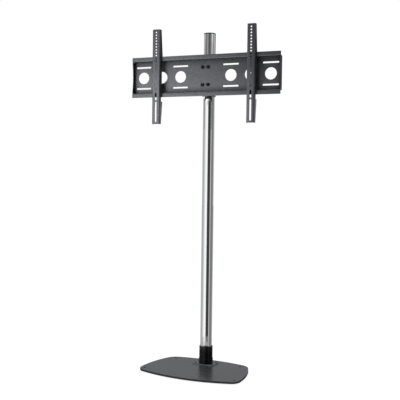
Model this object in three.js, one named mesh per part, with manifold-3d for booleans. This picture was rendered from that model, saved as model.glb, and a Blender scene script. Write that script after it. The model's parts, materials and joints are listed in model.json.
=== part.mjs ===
// Floor stand for a flat screen: a flat steel foot, a chromed pole, and a height-adjustable head
// made of a folded carrier plate with two hooked arms. Millimetres, +Z up, the screen side faces -Y.
// The origin lies on the floor, under the middle of the stand's outline.
import * as THREE from 'three';
import { mergeVertices } from 'three/addons/utils/BufferGeometryUtils.js';
import Module from 'manifold-3d';

const wasm = await Module();
wasm.setup();

// Fits: what two touching pieces leave between them, and how far a cut runs past a face
const seatGap = 0.3;
const overrun = 3;

// Facets of round shapes, as counts
const tubeFacets = 40;
const screwFacets = 14;
const boreFacets = 12;
const windowFacets = 36;
const sideFacets = 16;
const cornerFacets = 4;
const bendFacets = 2;
const hexSides = 6;

// Screw heads, as shares of a head's own height and radius
const socketRimShare = 0.9;
const socketCrownShare = 0.9;
const domeRimShare = 0.33;
const domeCrownShare = 0.5;
const headShoulderShare = 0.8;

// Foot plate: four corners joined by bulging sides, with the pole near its back edge
const baseThickness = 10;
const baseFrontHalf = 268;
const baseBackHalf = 214;
const baseFrontReach = 234.5;
const baseBackReach = 48;
const baseFrontRise = 51.5;
const baseBackRise = 27;
const baseSideRise = 21;
const baseCornerReach = 30;
const baseEdgeChamfer = 1.2;
const baseTurn = THREE.MathUtils.degToRad(-4.6);

// Levelling feet under the corners
const footPadHeight = 3.7;
const footPadRadius = 11;
const footPadEdge = 0.9;
const footFlangeRadius = 7;
const footFlangeHeight = 2;
const footRecessDepth = 2.4;
const footStudRadius = 4;
const footStudSink = 1.4;
const footKeyRadius = 2.3;
const footKeyDepth = 3.5;
const frontFootInset = 23.5;
const backFootInsetX = 29;
const backFootInsetY = 26;

// Pole and the plug, bolt and cap at its ends
const poleRadius = 30;
const poleWall = 2;
const poleTop = 1710;
const plugHeight = 12;
const poleBoltRadius = 6;
const poleBoltHeadRadius = 10;
const poleBoltHeadHeight = 5;
const poleBoltEngagement = 10;
const poleBoltKeyRadius = 4.6;
const poleBoltKeyDepth = 2.8;
const capOverhang = 0.6;
const capRimHeight = 4;
const capCrown = 1.2;
const capShoulderShare = 0.8;
const capEdge = 1;
const capSkirtDepth = 14;
const capSkirtWall = 2;

// Socket that holds the pole on the foot plate
const socketWall = 4.3;
const socketTop = 107.5;
const socketRingWall = 1.6;
const socketRingHeight = 27;
const socketRingShoulder = 1;
const flangeHalfWidth = 60;
const flangeHalfDepth = 37;
const flangeThickness = 3;
const flangeCorner = 8;
const flangeScrewX = 49;
const flangeScrewY = 25;
const flangeScrewRadius = 3;
const flangeScrewHeadRadius = 5.2;
const flangeScrewHeadHeight = 2.8;
const flangeScrewGrip = 6;
const flangeKeyRadius = 2.1;
const flangeKeyDepth = 1.6;
const grubRadius = 4;
const grubLength = 5;
const grubKeyRadius = 2.3;
const grubKeyDepth = 2.5;
const lowerGrubHeight = 62;
const upperGrubHeight = 92;

// Head on the pole: a stop ring, a sleeve that stands on it, and their screws
const headDrop = 218.6;
const sleeveWall = 3.7;
const sleeveHeight = 160;
const stopRingHeight = 18;
const stopGrubRadius = 3;
const stopGrubLength = 5;
const stopGrubKeyRadius = 1.8;
const stopGrubKeyDepth = 2.5;
const lockOffset = 50;
const lockBoltRadius = 5;
const lockBoltHeadRadius = 8;
const lockBoltHeadHeight = 10;
const lockBoltKeyRadius = 4.6;
const lockBoltKeyDepth = 5;
const lockBoltStandOff = 3.5;
const lockNutRadius = 9.8;
const lockNutHeight = 8;

// Bracket that joins the sleeve to the carrier plate
const bracketSheet = 5;
const bracketHeight = 150;
const bracketBend = 5;
const bracketWrap = 4;

// Carrier plate: a folded sheet with a deep middle, two webs and two lips
const plateSheet = 2.5;
const plateBend = 2.75;
const plateHalfLength = 394.5;
const plateFaceReach = 60.5;
const plateLipDepth = 25;
const recessHeight = 162.2;
const lipHeight = 22.2;
const endFlangeSlit = 1;
const endFlangeHollow = 7.5;
const windowRadius = 29.6;
const windowInnerX = 134.7;
const windowMiddleX = 238;
const windowOuterX = 339.5;
const plateSlotLength = 81.6;
const plateSlotWidth = 8.4;
const plateSlotOffset = 54.2;

// Screws that hold the carrier plate on the bracket
const plateScrewX = 14.6;
const plateScrewZ = 44.1;
const plateScrewRadius = 5;
const plateScrewHeadRadius = 9.2;
const plateScrewHeadHeight = 5.6;
const plateScrewKeyRadius = 3.5;
const plateScrewKeyDepth = 3;
const plateScrewTail = 2;
const plateWasherRadius = 10;
const plateWasherThickness = 1.6;
const plateNutRadius = 9.8;
const plateNutHeight = 8;

// Arms: channels that hook over the upper lip and stand on the lower one
const armX = 251;
const armWidth = 42;
const armSheet = 2.5;
const armBend = 4;
const armStandOff = 22;
const armLength = 480;
const armAboveLip = 135;
const armLipClearance = 0.5;
const armTopDepth = 20.5;
const armHookDepth = 37.4;
const armWebClearance = 1.2;
const armLift = 22;
const armMiddleDepth = 28.5;
const armCatchDepth = 37.4;
const armBottomDepth = 21;
const armHoleRadius = 4.1;
const armHolePitch = 14.6;
const armHoleCount = 14;
const armFirstHole = 15;
const armSlotWidth = 9;
const armLongSlotLength = 103.5;
const armLongSlotFoot = 10;
const armSlotWeb = 8;
const armShortSlotLength = 38.5;
const armLowHoleFoot = 179;
const armSmallHoleRadius = 2.2;
const armSmallHoleFoot = 241;

// Strip between an arm's two hooks, and the screw in it that grips the lip
const hookStripThickness = 3;
const hookStripAboveLip = 2;
const armLockRadius = 3;
const armLockHeadRadius = 5.5;
const armLockHeadHeight = 6;
const armLockStandOff = 4.5;
const armLockKeyRadius = 2.9;
const armLockKeyDepth = 3.5;

// Heights and radii that follow from the sizes above
const baseUnderside = footPadHeight + seatGap;
const baseTop = baseUnderside + baseThickness;
const flangeBottom = baseTop + seatGap;
const flangeTop = flangeBottom + flangeThickness;
const poleBottom = flangeTop + seatGap;
const poleBore = poleRadius - poleWall;
const headMiddle = poleTop - headDrop;
const socketBore = poleRadius + seatGap;
const socketRadius = socketBore + socketWall;
const sleeveBore = poleRadius + seatGap;
const sleeveRadius = sleeveBore + sleeveWall;
const plateBackReach = plateFaceReach - plateSheet;
const bracketFrontReach = plateBackReach - seatGap;
const bracketBackReach = bracketFrontReach - bracketSheet;
const lipFrontReach = plateFaceReach + plateLipDepth;
const lipBackReach = lipFrontReach - plateSheet;
const lipEdge = recessHeight / 2 + lipHeight;
const armFrontReach = lipFrontReach + armStandOff;
const armTop = lipEdge + armAboveLip;
const armFingerEnd = recessHeight / 2 + plateSheet + armWebClearance;
const armLockHeight = (armFingerEnd + lipEdge) / 2;
const armBottom = armTop - armLength;

// Finishes
function finish(color, roughness, metalness) {
  return () => new THREE.MeshStandardMaterial({ color, roughness, metalness });
}
const greyCoat = finish('#6f7178', 0.5, 0.35);
const blackCoat = finish('#17181a', 0.45, 0.2);
const chrome = finish('#d9dbdd', 0.06, 1);
const darkSteel = finish('#3a3b3d', 0.35, 0.9);
const plainSteel = finish('#9c9da0', 0.35, 1);
const blackPlastic = finish('#101113', 0.6, 0);
const softPad = finish('#1d1d1e', 0.85, 0);

// Solids
const axisX = new THREE.Vector3(1, 0, 0);
const axisY = new THREE.Vector3(0, 1, 0);
const axisZ = new THREE.Vector3(0, 0, 1);
const sideways = new THREE.Matrix4().makeBasis(axisY, axisZ, axisX);
const frontways = new THREE.Matrix4().makeBasis(axisX, axisZ, axisY.clone().negate());

function toSolid(geometry) {
  const bare = geometry.clone();
  bare.deleteAttribute('normal');
  bare.deleteAttribute('uv');
  const merged = mergeVertices(bare);
  const corners = merged.index.array;
  const kept = [];
  for (let i = 0; i < corners.length; i += 3) {
    const [a, b, c] = corners.slice(i, i + 3);
    if (a !== b && b !== c && c !== a) {
      kept.push(a, b, c);
    }
  }
  const vertProperties = new Float32Array(merged.attributes.position.array);
  return new wasm.Manifold(new wasm.Mesh({ numProp: 3, vertProperties, triVerts: new Uint32Array(kept) }));
}

function toGeometry(solid) {
  const mesh = solid.getMesh();
  const geometry = new THREE.BufferGeometry();
  geometry.setAttribute('position', new THREE.BufferAttribute(mesh.vertProperties, mesh.numProp));
  geometry.setIndex(new THREE.BufferAttribute(mesh.triVerts, 1));
  const flat = geometry.toNonIndexed();
  flat.computeVertexNormals();
  return flat;
}

function cutFrom(solid, cutters) {
  return solid.subtract(cutters.reduce((all, cutter) => all.add(cutter)));
}

// A turned piece around Z, from its half section as [radius, height] pairs, counter-clockwise
function turned(section, facets) {
  const outline = section.map(([radius, height]) => new THREE.Vector2(radius, height));
  return new THREE.LatheGeometry(outline, facets).rotateX(Math.PI / 2);
}

function rod(radius, low, high, facets) {
  return turned([[0, low], [radius, low], [radius, high], [0, high]], facets);
}

function ring(bore, radius, low, high, facets) {
  return turned([[bore, low], [radius, low], [radius, high], [bore, high], [bore, low]], facets);
}

// A hexagonal bar along Z: a nut's outside or the key hole of a screw
function hexagon(radius, low, high) {
  return rod(radius, low, high, hexSides);
}

// A flat outline given a depth along Z; each of its arcs has the given count of facets
function extruded(shape, depth, facets) {
  return new THREE.ExtrudeGeometry(shape, { depth, bevelEnabled: false, curveSegments: facets / 2 });
}

function polygon(points) {
  return new THREE.Shape(points.map(([u, v]) => new THREE.Vector2(u, v)));
}

function roundedBox(halfWidth, halfHeight, corner) {
  const shape = new THREE.Shape();
  shape.absarc(halfWidth - corner, halfHeight - corner, corner, 0, Math.PI / 2);
  shape.absarc(corner - halfWidth, halfHeight - corner, corner, Math.PI / 2, Math.PI);
  shape.absarc(corner - halfWidth, corner - halfHeight, corner, Math.PI, 3 * Math.PI / 2);
  shape.absarc(halfWidth - corner, corner - halfHeight, corner, 3 * Math.PI / 2, 2 * Math.PI);
  return shape;
}

// The section of a folded sheet, from the corners of its middle line and the radius of its bends
function foldedSection(corners, bend, sheet) {
  const line = corners.map(([u, v]) => new THREE.Vector2(u, v));
  const left = [];
  const right = [];
  function place(point, normal) {
    left.push(point.clone().addScaledVector(normal, sheet / 2));
    right.unshift(point.clone().addScaledVector(normal, -sheet / 2));
  }
  function heading(i) {
    return line[i + 1].clone().sub(line[i]).normalize();
  }
  function leftOf(direction) {
    return new THREE.Vector2(-direction.y, direction.x);
  }
  place(line[0], leftOf(heading(0)));
  for (let i = 1; i < line.length - 1; i += 1) {
    const before = heading(i - 1);
    const after = heading(i);
    const turn = Math.atan2(before.cross(after), before.dot(after));
    const setBack = bend * Math.tan(Math.abs(turn) / 2);
    const side = leftOf(before).multiplyScalar(Math.sign(turn));
    const centre = line[i].clone().addScaledVector(before, -setBack).addScaledVector(side, bend);
    for (let step = 0; step <= bendFacets; step += 1) {
      const outward = side.clone().negate().rotateAround(new THREE.Vector2(), turn * step / bendFacets);
      const normal = outward.clone().multiplyScalar(-Math.sign(turn));
      place(centre.clone().addScaledVector(outward, bend), normal);
    }
  }
  place(line[line.length - 1], leftOf(heading(line.length - 2)));
  return new THREE.Shape([...left, ...right].reverse());
}

// Openings cut from front to back, placed by their middle
function boreThrough(radius, x, z, near, far, facets) {
  const bore = new THREE.Shape();
  bore.absarc(x, z, radius, 0, 2 * Math.PI);
  return toSolid(extruded(bore, far - near, facets).applyMatrix4(frontways).translate(0, far, 0));
}

function slotThrough(length, width, x, z, near, far, upright) {
  const half = length / 2;
  const slot = upright ? roundedBox(width / 2, half, width / 2) : roundedBox(half, width / 2, width / 2);
  const cutter = extruded(slot, far - near, cornerFacets).applyMatrix4(frontways);
  return toSolid(cutter.translate(x, far, z));
}

// A screw along Z whose head stands above z = 0 and whose shank hangs below it
function screw(shankRadius, shankLength, headRadius, headHeight, keyRadius, keyDepth, domed) {
  const rim = headHeight * (domed ? domeRimShare : socketRimShare);
  const crown = headRadius * (domed ? domeCrownShare : socketCrownShare);
  const shoulder = rim + (headHeight - rim) * headShoulderShare;
  const section = [
    [0, -shankLength], [shankRadius, -shankLength], [shankRadius, 0], [headRadius, 0],
    [headRadius, rim], [(headRadius + crown) / 2, shoulder], [crown, headHeight], [0, headHeight],
  ];
  const body = toSolid(turned(section, screwFacets));
  return toGeometry(body.subtract(toSolid(hexagon(keyRadius, headHeight - keyDepth, headHeight + overrun))));
}

// A headless screw along Z, from its tip at z = 0 up to its keyed end
function grub(radius, length, keyRadius, keyDepth) {
  const body = toSolid(rod(radius, 0, length, screwFacets));
  return toGeometry(body.subtract(toSolid(hexagon(keyRadius, length - keyDepth, length + overrun))));
}

function nut(radius, bore, low, high) {
  const blank = toSolid(hexagon(radius, low, high));
  return blank.subtract(toSolid(rod(bore, low - overrun, high + overrun, boreFacets)));
}

function piece(name, geometry, material) {
  const mesh = new THREE.Mesh(geometry, material());
  mesh.name = name;
  return mesh;
}

function groupOf(...members) {
  const group = new THREE.Group();
  group.add(...members);
  return group;
}

// The foot plate's outline, seen from above
function baseOutline() {
  const corners = [
    new THREE.Vector2(-baseFrontHalf, -baseFrontReach),
    new THREE.Vector2(baseFrontHalf, -baseFrontReach),
    new THREE.Vector2(baseBackHalf, baseBackReach),
    new THREE.Vector2(-baseBackHalf, baseBackReach),
  ];
  const rises = [baseFrontRise, baseSideRise, baseBackRise, baseSideRise];
  const shape = new THREE.Shape();
  corners.forEach((from, i) => {
    const to = corners[(i + 1) % corners.length];
    const half = from.distanceTo(to) / 2;
    const radius = (half * half + rises[i] * rises[i]) / (2 * rises[i]);
    const along = to.clone().sub(from).normalize();
    const inward = new THREE.Vector2(-along.y, along.x);
    const centre = from.clone().add(to).divideScalar(2).addScaledVector(inward, radius - rises[i]);
    const trim = 2 * Math.asin(baseCornerReach / 2 / radius);
    const start = from.clone().sub(centre).angle() + trim;
    const sweep = 2 * Math.asin(half / radius) - 2 * trim;
    const entry = new THREE.Vector2(Math.cos(start), Math.sin(start)).multiplyScalar(radius).add(centre);
    if (i > 0) {
      shape.quadraticCurveTo(from.x, from.y, entry.x, entry.y);
    }
    shape.absarc(centre.x, centre.y, radius, start, start + sweep);
  });
  const first = shape.getPoint(0);
  shape.quadraticCurveTo(corners[0].x, corners[0].y, first.x, first.y);
  return shape;
}

const frontFootX = baseFrontHalf - frontFootInset;
const frontFootY = frontFootInset - baseFrontReach;
const backFootX = baseBackHalf - backFootInsetX;
const backFootY = baseBackReach - backFootInsetY;
const footPlaces = [
  ['front_left', -frontFootX, frontFootY],
  ['front_right', frontFootX, frontFootY],
  ['back_left', -backFootX, backFootY],
  ['back_right', backFootX, backFootY],
];
const flangeScrewPlaces = [
  [-flangeScrewX, -flangeScrewY],
  [flangeScrewX, -flangeScrewY],
  [-flangeScrewX, flangeScrewY],
  [flangeScrewX, flangeScrewY],
];

// A bore along Z, placed by its middle
function boreDown(radius, x, y, low, high) {
  return toSolid(rod(radius, low, high, screwFacets).translate(x, y, 0));
}

function basePlate() {
  const blank = new THREE.ExtrudeGeometry(baseOutline(), {
    depth: baseThickness - 2 * baseEdgeChamfer,
    bevelThickness: baseEdgeChamfer,
    bevelSize: baseEdgeChamfer,
    bevelOffset: -baseEdgeChamfer,
    bevelSegments: 1,
    curveSegments: sideFacets / 2,
  }).translate(0, 0, baseUnderside + baseEdgeChamfer);
  const below = baseUnderside - overrun;
  const above = baseTop + overrun;
  const headRoom = baseUnderside + poleBoltHeadHeight + 2 * seatGap;
  const studBores = footPlaces.map(([, x, y]) => boreDown(footStudRadius + seatGap, x, y, below, above));
  const screwBores = flangeScrewPlaces.map(([x, y]) => (
    boreDown(flangeScrewRadius + seatGap, x, y, baseTop - flangeScrewGrip - seatGap, above)
  ));
  const boltBore = boreDown(poleBoltRadius + seatGap, 0, 0, below, above);
  const boltHeadBore = boreDown(poleBoltHeadRadius + seatGap, 0, 0, below, headRoom);
  return toGeometry(cutFrom(toSolid(blank), [...studBores, ...screwBores, boltBore, boltHeadBore]));
}

// A levelling foot: a keyed stud with a flange, and the pad pressed over that flange
function levellingFoot(name, x, y) {
  const seat = footPadHeight - footRecessDepth;
  const flangeFrom = seat + seatGap;
  const stud = toSolid(turned([
    [0, flangeFrom], [footFlangeRadius, flangeFrom], [footFlangeRadius, flangeFrom + footFlangeHeight],
    [footStudRadius, flangeFrom + footFlangeHeight], [footStudRadius, baseTop - footStudSink],
    [0, baseTop - footStudSink],
  ], screwFacets));
  const key = toSolid(hexagon(footKeyRadius, baseTop - footStudSink - footKeyDepth, baseTop));
  const recess = footFlangeRadius + seatGap;
  const pad = turned([
    [0, 0], [footPadRadius - footPadEdge, 0], [footPadRadius, footPadEdge],
    [footPadRadius, footPadHeight],
    [recess, footPadHeight], [recess, seat], [0, seat],
  ], screwFacets);
  const foot = groupOf(
    piece(`${name}_foot_stud`, toGeometry(stud.subtract(key)), darkSteel),
    piece(`${name}_foot_pad`, pad, softPad),
  );
  foot.position.set(x, y, 0);
  return foot;
}

function socketFlange() {
  const outline = roundedBox(flangeHalfWidth, flangeHalfDepth, flangeCorner);
  const blank = extruded(outline, flangeThickness, cornerFacets).translate(0, 0, flangeBottom);
  const low = flangeBottom - overrun;
  const high = flangeTop + overrun;
  const screwBores = flangeScrewPlaces.map(([x, y]) => (
    boreDown(flangeScrewRadius + seatGap, x, y, low, high)
  ));
  const boltBore = boreDown(poleBoltRadius + seatGap, 0, 0, low, high);
  return toGeometry(cutFrom(toSolid(blank), [...screwBores, boltBore]));
}

// A bore through the back wall of a tube, at a height
function rearBore(radius, height, reach) {
  const bore = rod(radius, 0, reach, boreFacets);
  return toSolid(bore.rotateX(-Math.PI / 2).translate(0, 0, height));
}

function socketTube() {
  const tube = toSolid(ring(socketBore, socketRadius, poleBottom, socketTop, tubeFacets));
  const reach = socketRadius + overrun;
  const bores = [lowerGrubHeight, upperGrubHeight].map((height) => (
    rearBore(grubRadius + seatGap, height, reach)
  ));
  return toGeometry(cutFrom(tube, bores));
}

function socketRing() {
  const bore = socketRadius + seatGap;
  const radius = bore + socketRingWall;
  const top = poleBottom + socketRingHeight;
  return turned([
    [bore, poleBottom], [radius, poleBottom], [radius, top - socketRingShoulder],
    [radius - socketRingShoulder, top], [bore, top], [bore, poleBottom],
  ], tubeFacets);
}

// A grub screw in the back wall, its tip against the pole
function rearGrub(name, radius, length, keyRadius, keyDepth, height) {
  const screwIn = grub(radius, length, keyRadius, keyDepth).rotateX(-Math.PI / 2);
  const mesh = piece(name, screwIn, darkSteel);
  mesh.position.set(0, poleRadius + seatGap, height);
  return mesh;
}

function polePlug() {
  const plug = toSolid(rod(poleBore - seatGap, poleBottom, poleBottom + plugHeight, tubeFacets));
  const above = poleBottom + plugHeight + overrun;
  const bore = boreDown(poleBoltRadius + seatGap, 0, 0, poleBottom - overrun, above);
  return toGeometry(plug.subtract(bore));
}

function poleBolt() {
  const seat = baseUnderside + poleBoltHeadHeight + seatGap;
  const shank = poleBottom + poleBoltEngagement - seat;
  const bolt = screw(poleBoltRadius, shank, poleBoltHeadRadius, poleBoltHeadHeight, poleBoltKeyRadius,
    poleBoltKeyDepth, false);
  return bolt.rotateX(Math.PI).translate(0, 0, seat);
}

function poleCap() {
  const low = poleTop + seatGap;
  const radius = poleRadius + capOverhang;
  const top = low + capRimHeight;
  const skirt = poleBore - seatGap;
  return turned([
    [0, low], [skirt - capSkirtWall, low], [skirt - capSkirtWall, low - capSkirtDepth],
    [skirt, low - capSkirtDepth], [skirt, low], [radius, low], [radius, top - capEdge],
    [radius - capEdge, top], [radius / 2, top + capCrown * capShoulderShare], [0, top + capCrown],
  ], tubeFacets);
}

function foot() {
  const group = groupOf(
    piece('base_plate', basePlate(), greyCoat),
    piece('socket_flange', socketFlange(), greyCoat),
    piece('socket_tube', socketTube(), blackCoat),
    piece('socket_foot_ring', socketRing(), blackCoat),
    piece('pole_tube', ring(poleBore, poleRadius, poleBottom, poleTop, tubeFacets), chrome),
    piece('pole_plug', polePlug(), plainSteel),
    piece('pole_bolt', poleBolt(), darkSteel),
    piece('pole_cap', poleCap(), blackPlastic),
    rearGrub('lower_socket_grub', grubRadius, grubLength, grubKeyRadius, grubKeyDepth, lowerGrubHeight),
    rearGrub('upper_socket_grub', grubRadius, grubLength, grubKeyRadius, grubKeyDepth, upperGrubHeight),
  );
  const grip = flangeThickness + flangeScrewGrip;
  flangeScrewPlaces.forEach(([x, y], i) => {
    const head = screw(flangeScrewRadius, grip, flangeScrewHeadRadius, flangeScrewHeadHeight,
      flangeKeyRadius, flangeKeyDepth, true);
    const mesh = piece(`flange_screw_${i + 1}`, head, greyCoat);
    mesh.position.set(x, y, flangeTop + seatGap);
    group.add(mesh);
  });
  footPlaces.forEach(([name, x, y]) => group.add(levellingFoot(name, x, y)));
  group.rotation.z = baseTurn;
  return group;
}

// The head's pieces are placed from the pole's axis and the carrier plate's middle
function stopRing() {
  const top = -sleeveHeight / 2 - seatGap;
  const low = top - stopRingHeight;
  const tube = toSolid(ring(sleeveBore, sleeveRadius, low, top, tubeFacets));
  const bore = rearBore(stopGrubRadius + seatGap, (low + top) / 2, sleeveRadius + overrun);
  return toGeometry(tube.subtract(bore));
}

function sleeve() {
  const tube = toSolid(ring(sleeveBore, sleeveRadius, -sleeveHeight / 2, sleeveHeight / 2, tubeFacets));
  const reach = sleeveRadius + overrun;
  const bores = [-lockOffset, lockOffset].map((height) => rearBore(lockBoltRadius + seatGap, height, reach));
  return toGeometry(cutFrom(tube, bores));
}

// A nut welded on the sleeve's back, hollowed to sit on it
function lockNut() {
  const blank = nut(lockNutRadius, lockBoltRadius + seatGap, poleRadius, sleeveRadius + lockNutHeight);
  const half = lockNutRadius + overrun;
  const barrel = toSolid(rod(sleeveRadius + seatGap, -half, half, tubeFacets));
  return toGeometry(blank.rotate([-90, 0, 0]).subtract(barrel));
}

function lockBolt() {
  const shank = sleeveRadius + lockNutHeight + lockBoltStandOff - poleRadius - seatGap;
  const bolt = screw(lockBoltRadius, shank, lockBoltHeadRadius, lockBoltHeadHeight, lockBoltKeyRadius,
    lockBoltKeyDepth, false);
  return bolt.rotateX(-Math.PI / 2).translate(0, poleRadius + seatGap + shank, 0);
}

// The two screw rows and columns that join plate and bracket
const plateScrewPlaces = [
  ['upper_left', -plateScrewX, plateScrewZ],
  ['upper_right', plateScrewX, plateScrewZ],
  ['lower_left', -plateScrewX, -plateScrewZ],
  ['lower_right', plateScrewX, -plateScrewZ],
];

function bracket() {
  const sideX = sleeveRadius + seatGap + bracketSheet / 2;
  const webY = -(bracketFrontReach + bracketBackReach) / 2;
  const section = foldedSection([
    [sideX, bracketWrap], [sideX, webY], [-sideX, webY], [-sideX, bracketWrap],
  ], bracketBend, bracketSheet);
  const blank = toSolid(extruded(section, bracketHeight, sideFacets).translate(0, 0, -bracketHeight / 2));
  const bores = plateScrewPlaces.map(([, x, z]) => (
    boreThrough(plateScrewRadius + seatGap, x, z, -plateBackReach, -bracketBackReach + overrun, boreFacets)
  ));
  return toGeometry(cutFrom(blank, bores));
}

// An end flange stands forward of the deep middle, with a hollow front edge
function endFlange(x) {
  const half = recessHeight / 2 - endFlangeSlit;
  const root = -plateFaceReach + plateSheet / 2;
  const edge = new THREE.Shape();
  edge.moveTo(root, -half);
  edge.lineTo(root, half);
  edge.lineTo(-lipFrontReach, half);
  edge.quadraticCurveTo(-lipFrontReach + 2 * endFlangeHollow, 0, -lipFrontReach, -half);
  edge.closePath();
  const flange = extruded(edge, plateSheet, sideFacets).applyMatrix4(sideways);
  return toSolid(flange.translate(x - plateSheet / 2, 0, 0));
}

function carrierPlate() {
  const lipY = -lipFrontReach + plateSheet / 2;
  const faceY = -plateFaceReach + plateSheet / 2;
  const webZ = (recessHeight + plateSheet) / 2;
  const section = foldedSection([
    [lipY, lipEdge], [lipY, webZ], [faceY, webZ], [faceY, -webZ], [lipY, -webZ], [lipY, -lipEdge],
  ], plateBend, plateSheet);
  const folded = extruded(section, 2 * plateHalfLength, sideFacets).applyMatrix4(sideways);
  const sheet = toSolid(folded.translate(-plateHalfLength, 0, 0));
  const endX = plateHalfLength - plateSheet / 2;
  const blank = sheet.add(endFlange(-endX)).add(endFlange(endX));
  const near = -plateFaceReach - overrun;
  const far = -plateBackReach + overrun;
  const cutters = plateScrewPlaces.map(([, x, z]) => (
    boreThrough(plateScrewRadius + seatGap, x, z, near, far, boreFacets)
  ));
  [-1, 1].forEach((side) => {
    [windowInnerX, windowMiddleX, windowOuterX].forEach((x) => {
      cutters.push(boreThrough(windowRadius, side * x, 0, near, far, windowFacets));
    });
    [windowInnerX, windowOuterX].forEach((x) => {
      [-plateSlotOffset, plateSlotOffset].forEach((z) => {
        cutters.push(slotThrough(plateSlotLength, plateSlotWidth, side * x, z, near, far, false));
      });
    });
  });
  return toGeometry(cutFrom(blank, cutters));
}

// One plate screw with its washer and nut behind the bracket
function plateFixing(name, x, z) {
  const headSeat = plateFaceReach + seatGap;
  const washerSeat = bracketBackReach - seatGap;
  const nutSeat = washerSeat - plateWasherThickness - seatGap;
  const shank = headSeat - nutSeat + plateNutHeight + plateScrewTail;
  const head = screw(plateScrewRadius, shank, plateScrewHeadRadius, plateScrewHeadHeight,
    plateScrewKeyRadius, plateScrewKeyDepth, true);
  const bore = plateScrewRadius + seatGap;
  const washer = ring(bore, plateWasherRadius, 0, plateWasherThickness, screwFacets);
  const fixing = groupOf(
    piece(`${name}_plate_screw`, head.rotateX(Math.PI / 2).translate(0, -headSeat, 0), darkSteel),
    piece(`${name}_plate_washer`, washer.rotateX(-Math.PI / 2).translate(0, -washerSeat, 0), plainSteel),
    piece(`${name}_plate_nut`, toGeometry(nut(plateNutRadius, bore, 0, plateNutHeight))
      .rotateX(-Math.PI / 2).translate(0, -nutSeat, 0), plainSteel),
  );
  fixing.position.set(x, 0, z);
  return fixing;
}

// The side view of an arm: hook, lip slots and tapers, as depth behind its face and height.
// Lifted by armLift, the arm comes off the plate forwards.
function armSideView() {
  const lipFront = armStandOff - armLipClearance;
  const lipBack = armStandOff + plateSheet + armLipClearance;
  const overLip = lipEdge + seatGap;
  const middleTop = recessHeight / 2 - armLift;
  const middleLow = -recessHeight / 2 + armWebClearance;
  const catchTop = -lipEdge - armLift;
  return polygon([
    [-overrun, armBottom], [armBottomDepth, armBottom],
    [armCatchDepth, catchTop], [lipFront, catchTop],
    [lipFront, middleLow], [armMiddleDepth, middleLow],
    [armMiddleDepth, middleTop], [lipFront, middleTop],
    [lipFront, overLip], [lipBack, overLip],
    [lipBack, armFingerEnd], [armHookDepth, armFingerEnd],
    [armHookDepth, overLip], [armTopDepth, armTop],
    [-overrun, armTop],
  ]);
}

function armChannel() {
  const sideX = (armWidth - armSheet) / 2;
  const faceY = -armFrontReach + armSheet / 2;
  const backY = -armFrontReach + Math.max(armHookDepth, armCatchDepth) + overrun;
  const section = foldedSection([
    [-sideX, backY], [-sideX, faceY], [sideX, faceY], [sideX, backY],
  ], armBend, armSheet);
  const channel = toSolid(extruded(section, armLength, sideFacets).translate(0, 0, armBottom));
  const profile = extruded(armSideView(), armWidth + 2 * overrun, sideFacets).applyMatrix4(sideways);
  profile.translate(-armWidth / 2 - overrun, -armFrontReach, 0);
  const near = -armFrontReach - overrun;
  const far = -armFrontReach + armSheet + overrun;
  const cutters = [];
  for (let i = 0; i < armHoleCount; i += 1) {
    const height = armTop - armFirstHole - i * armHolePitch;
    cutters.push(boreThrough(armHoleRadius, 0, height, near, far, boreFacets));
  }
  const longSlot = armBottom + armLongSlotFoot + armLongSlotLength / 2;
  const shortSlot = longSlot + armLongSlotLength / 2 + armSlotWeb + armShortSlotLength / 2;
  cutters.push(slotThrough(armLongSlotLength, armSlotWidth, 0, longSlot, near, far, true));
  cutters.push(slotThrough(armShortSlotLength, armSlotWidth, 0, shortSlot, near, far, true));
  cutters.push(boreThrough(armHoleRadius, 0, armBottom + armLowHoleFoot, near, far, boreFacets));
  cutters.push(boreThrough(armSmallHoleRadius, 0, armBottom + armSmallHoleFoot, near, far, boreFacets));
  return toGeometry(cutFrom(channel.intersect(toSolid(profile)), cutters));
}

function hookStrip() {
  const high = lipEdge + hookStripAboveLip;
  const width = armWidth - 2 * armSheet - 2 * seatGap;
  const backY = -armFrontReach + armHookDepth;
  const bar = new THREE.BoxGeometry(width, hookStripThickness, high - armFingerEnd);
  bar.translate(0, backY - hookStripThickness / 2, (armFingerEnd + high) / 2);
  const bore = boreThrough(armLockRadius + seatGap, 0, armLockHeight,
    backY - hookStripThickness - overrun, backY + overrun, boreFacets);
  return toGeometry(toSolid(bar).subtract(bore));
}

function armLock() {
  const tip = -lipBackReach + seatGap;
  const seat = -armFrontReach + armHookDepth + armLockStandOff;
  const bolt = screw(armLockRadius, seat - tip, armLockHeadRadius, armLockHeadHeight, armLockKeyRadius,
    armLockKeyDepth, false);
  return bolt.rotateX(-Math.PI / 2).translate(0, seat, armLockHeight);
}

function arm(name, x) {
  const group = groupOf(
    piece(`${name}_arm_channel`, armChannel(), greyCoat),
    piece(`${name}_hook_strip`, hookStrip(), greyCoat),
    piece(`${name}_arm_lock`, armLock(), darkSteel),
  );
  group.position.x = x;
  return group;
}

function head() {
  const ringMiddle = -sleeveHeight / 2 - seatGap - stopRingHeight / 2;
  const group = groupOf(
    piece('stop_ring', stopRing(), blackCoat),
    rearGrub('stop_ring_grub', stopGrubRadius, stopGrubLength, stopGrubKeyRadius, stopGrubKeyDepth,
      ringMiddle),
    piece('sleeve', sleeve(), blackCoat),
    piece('bracket', bracket(), blackCoat),
    piece('carrier_plate', carrierPlate(), greyCoat),
    arm('left', -armX),
    arm('right', armX),
  );
  [['upper', lockOffset], ['lower', -lockOffset]].forEach(([name, height]) => {
    const pair = groupOf(
      piece(`${name}_lock_nut`, lockNut(), darkSteel),
      piece(`${name}_lock_bolt`, lockBolt(), darkSteel),
    );
    pair.position.z = height;
    group.add(pair);
  });
  plateScrewPlaces.forEach(([name, x, z]) => group.add(plateFixing(name, x, z)));
  group.position.z = headMiddle;
  return group;
}

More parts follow.
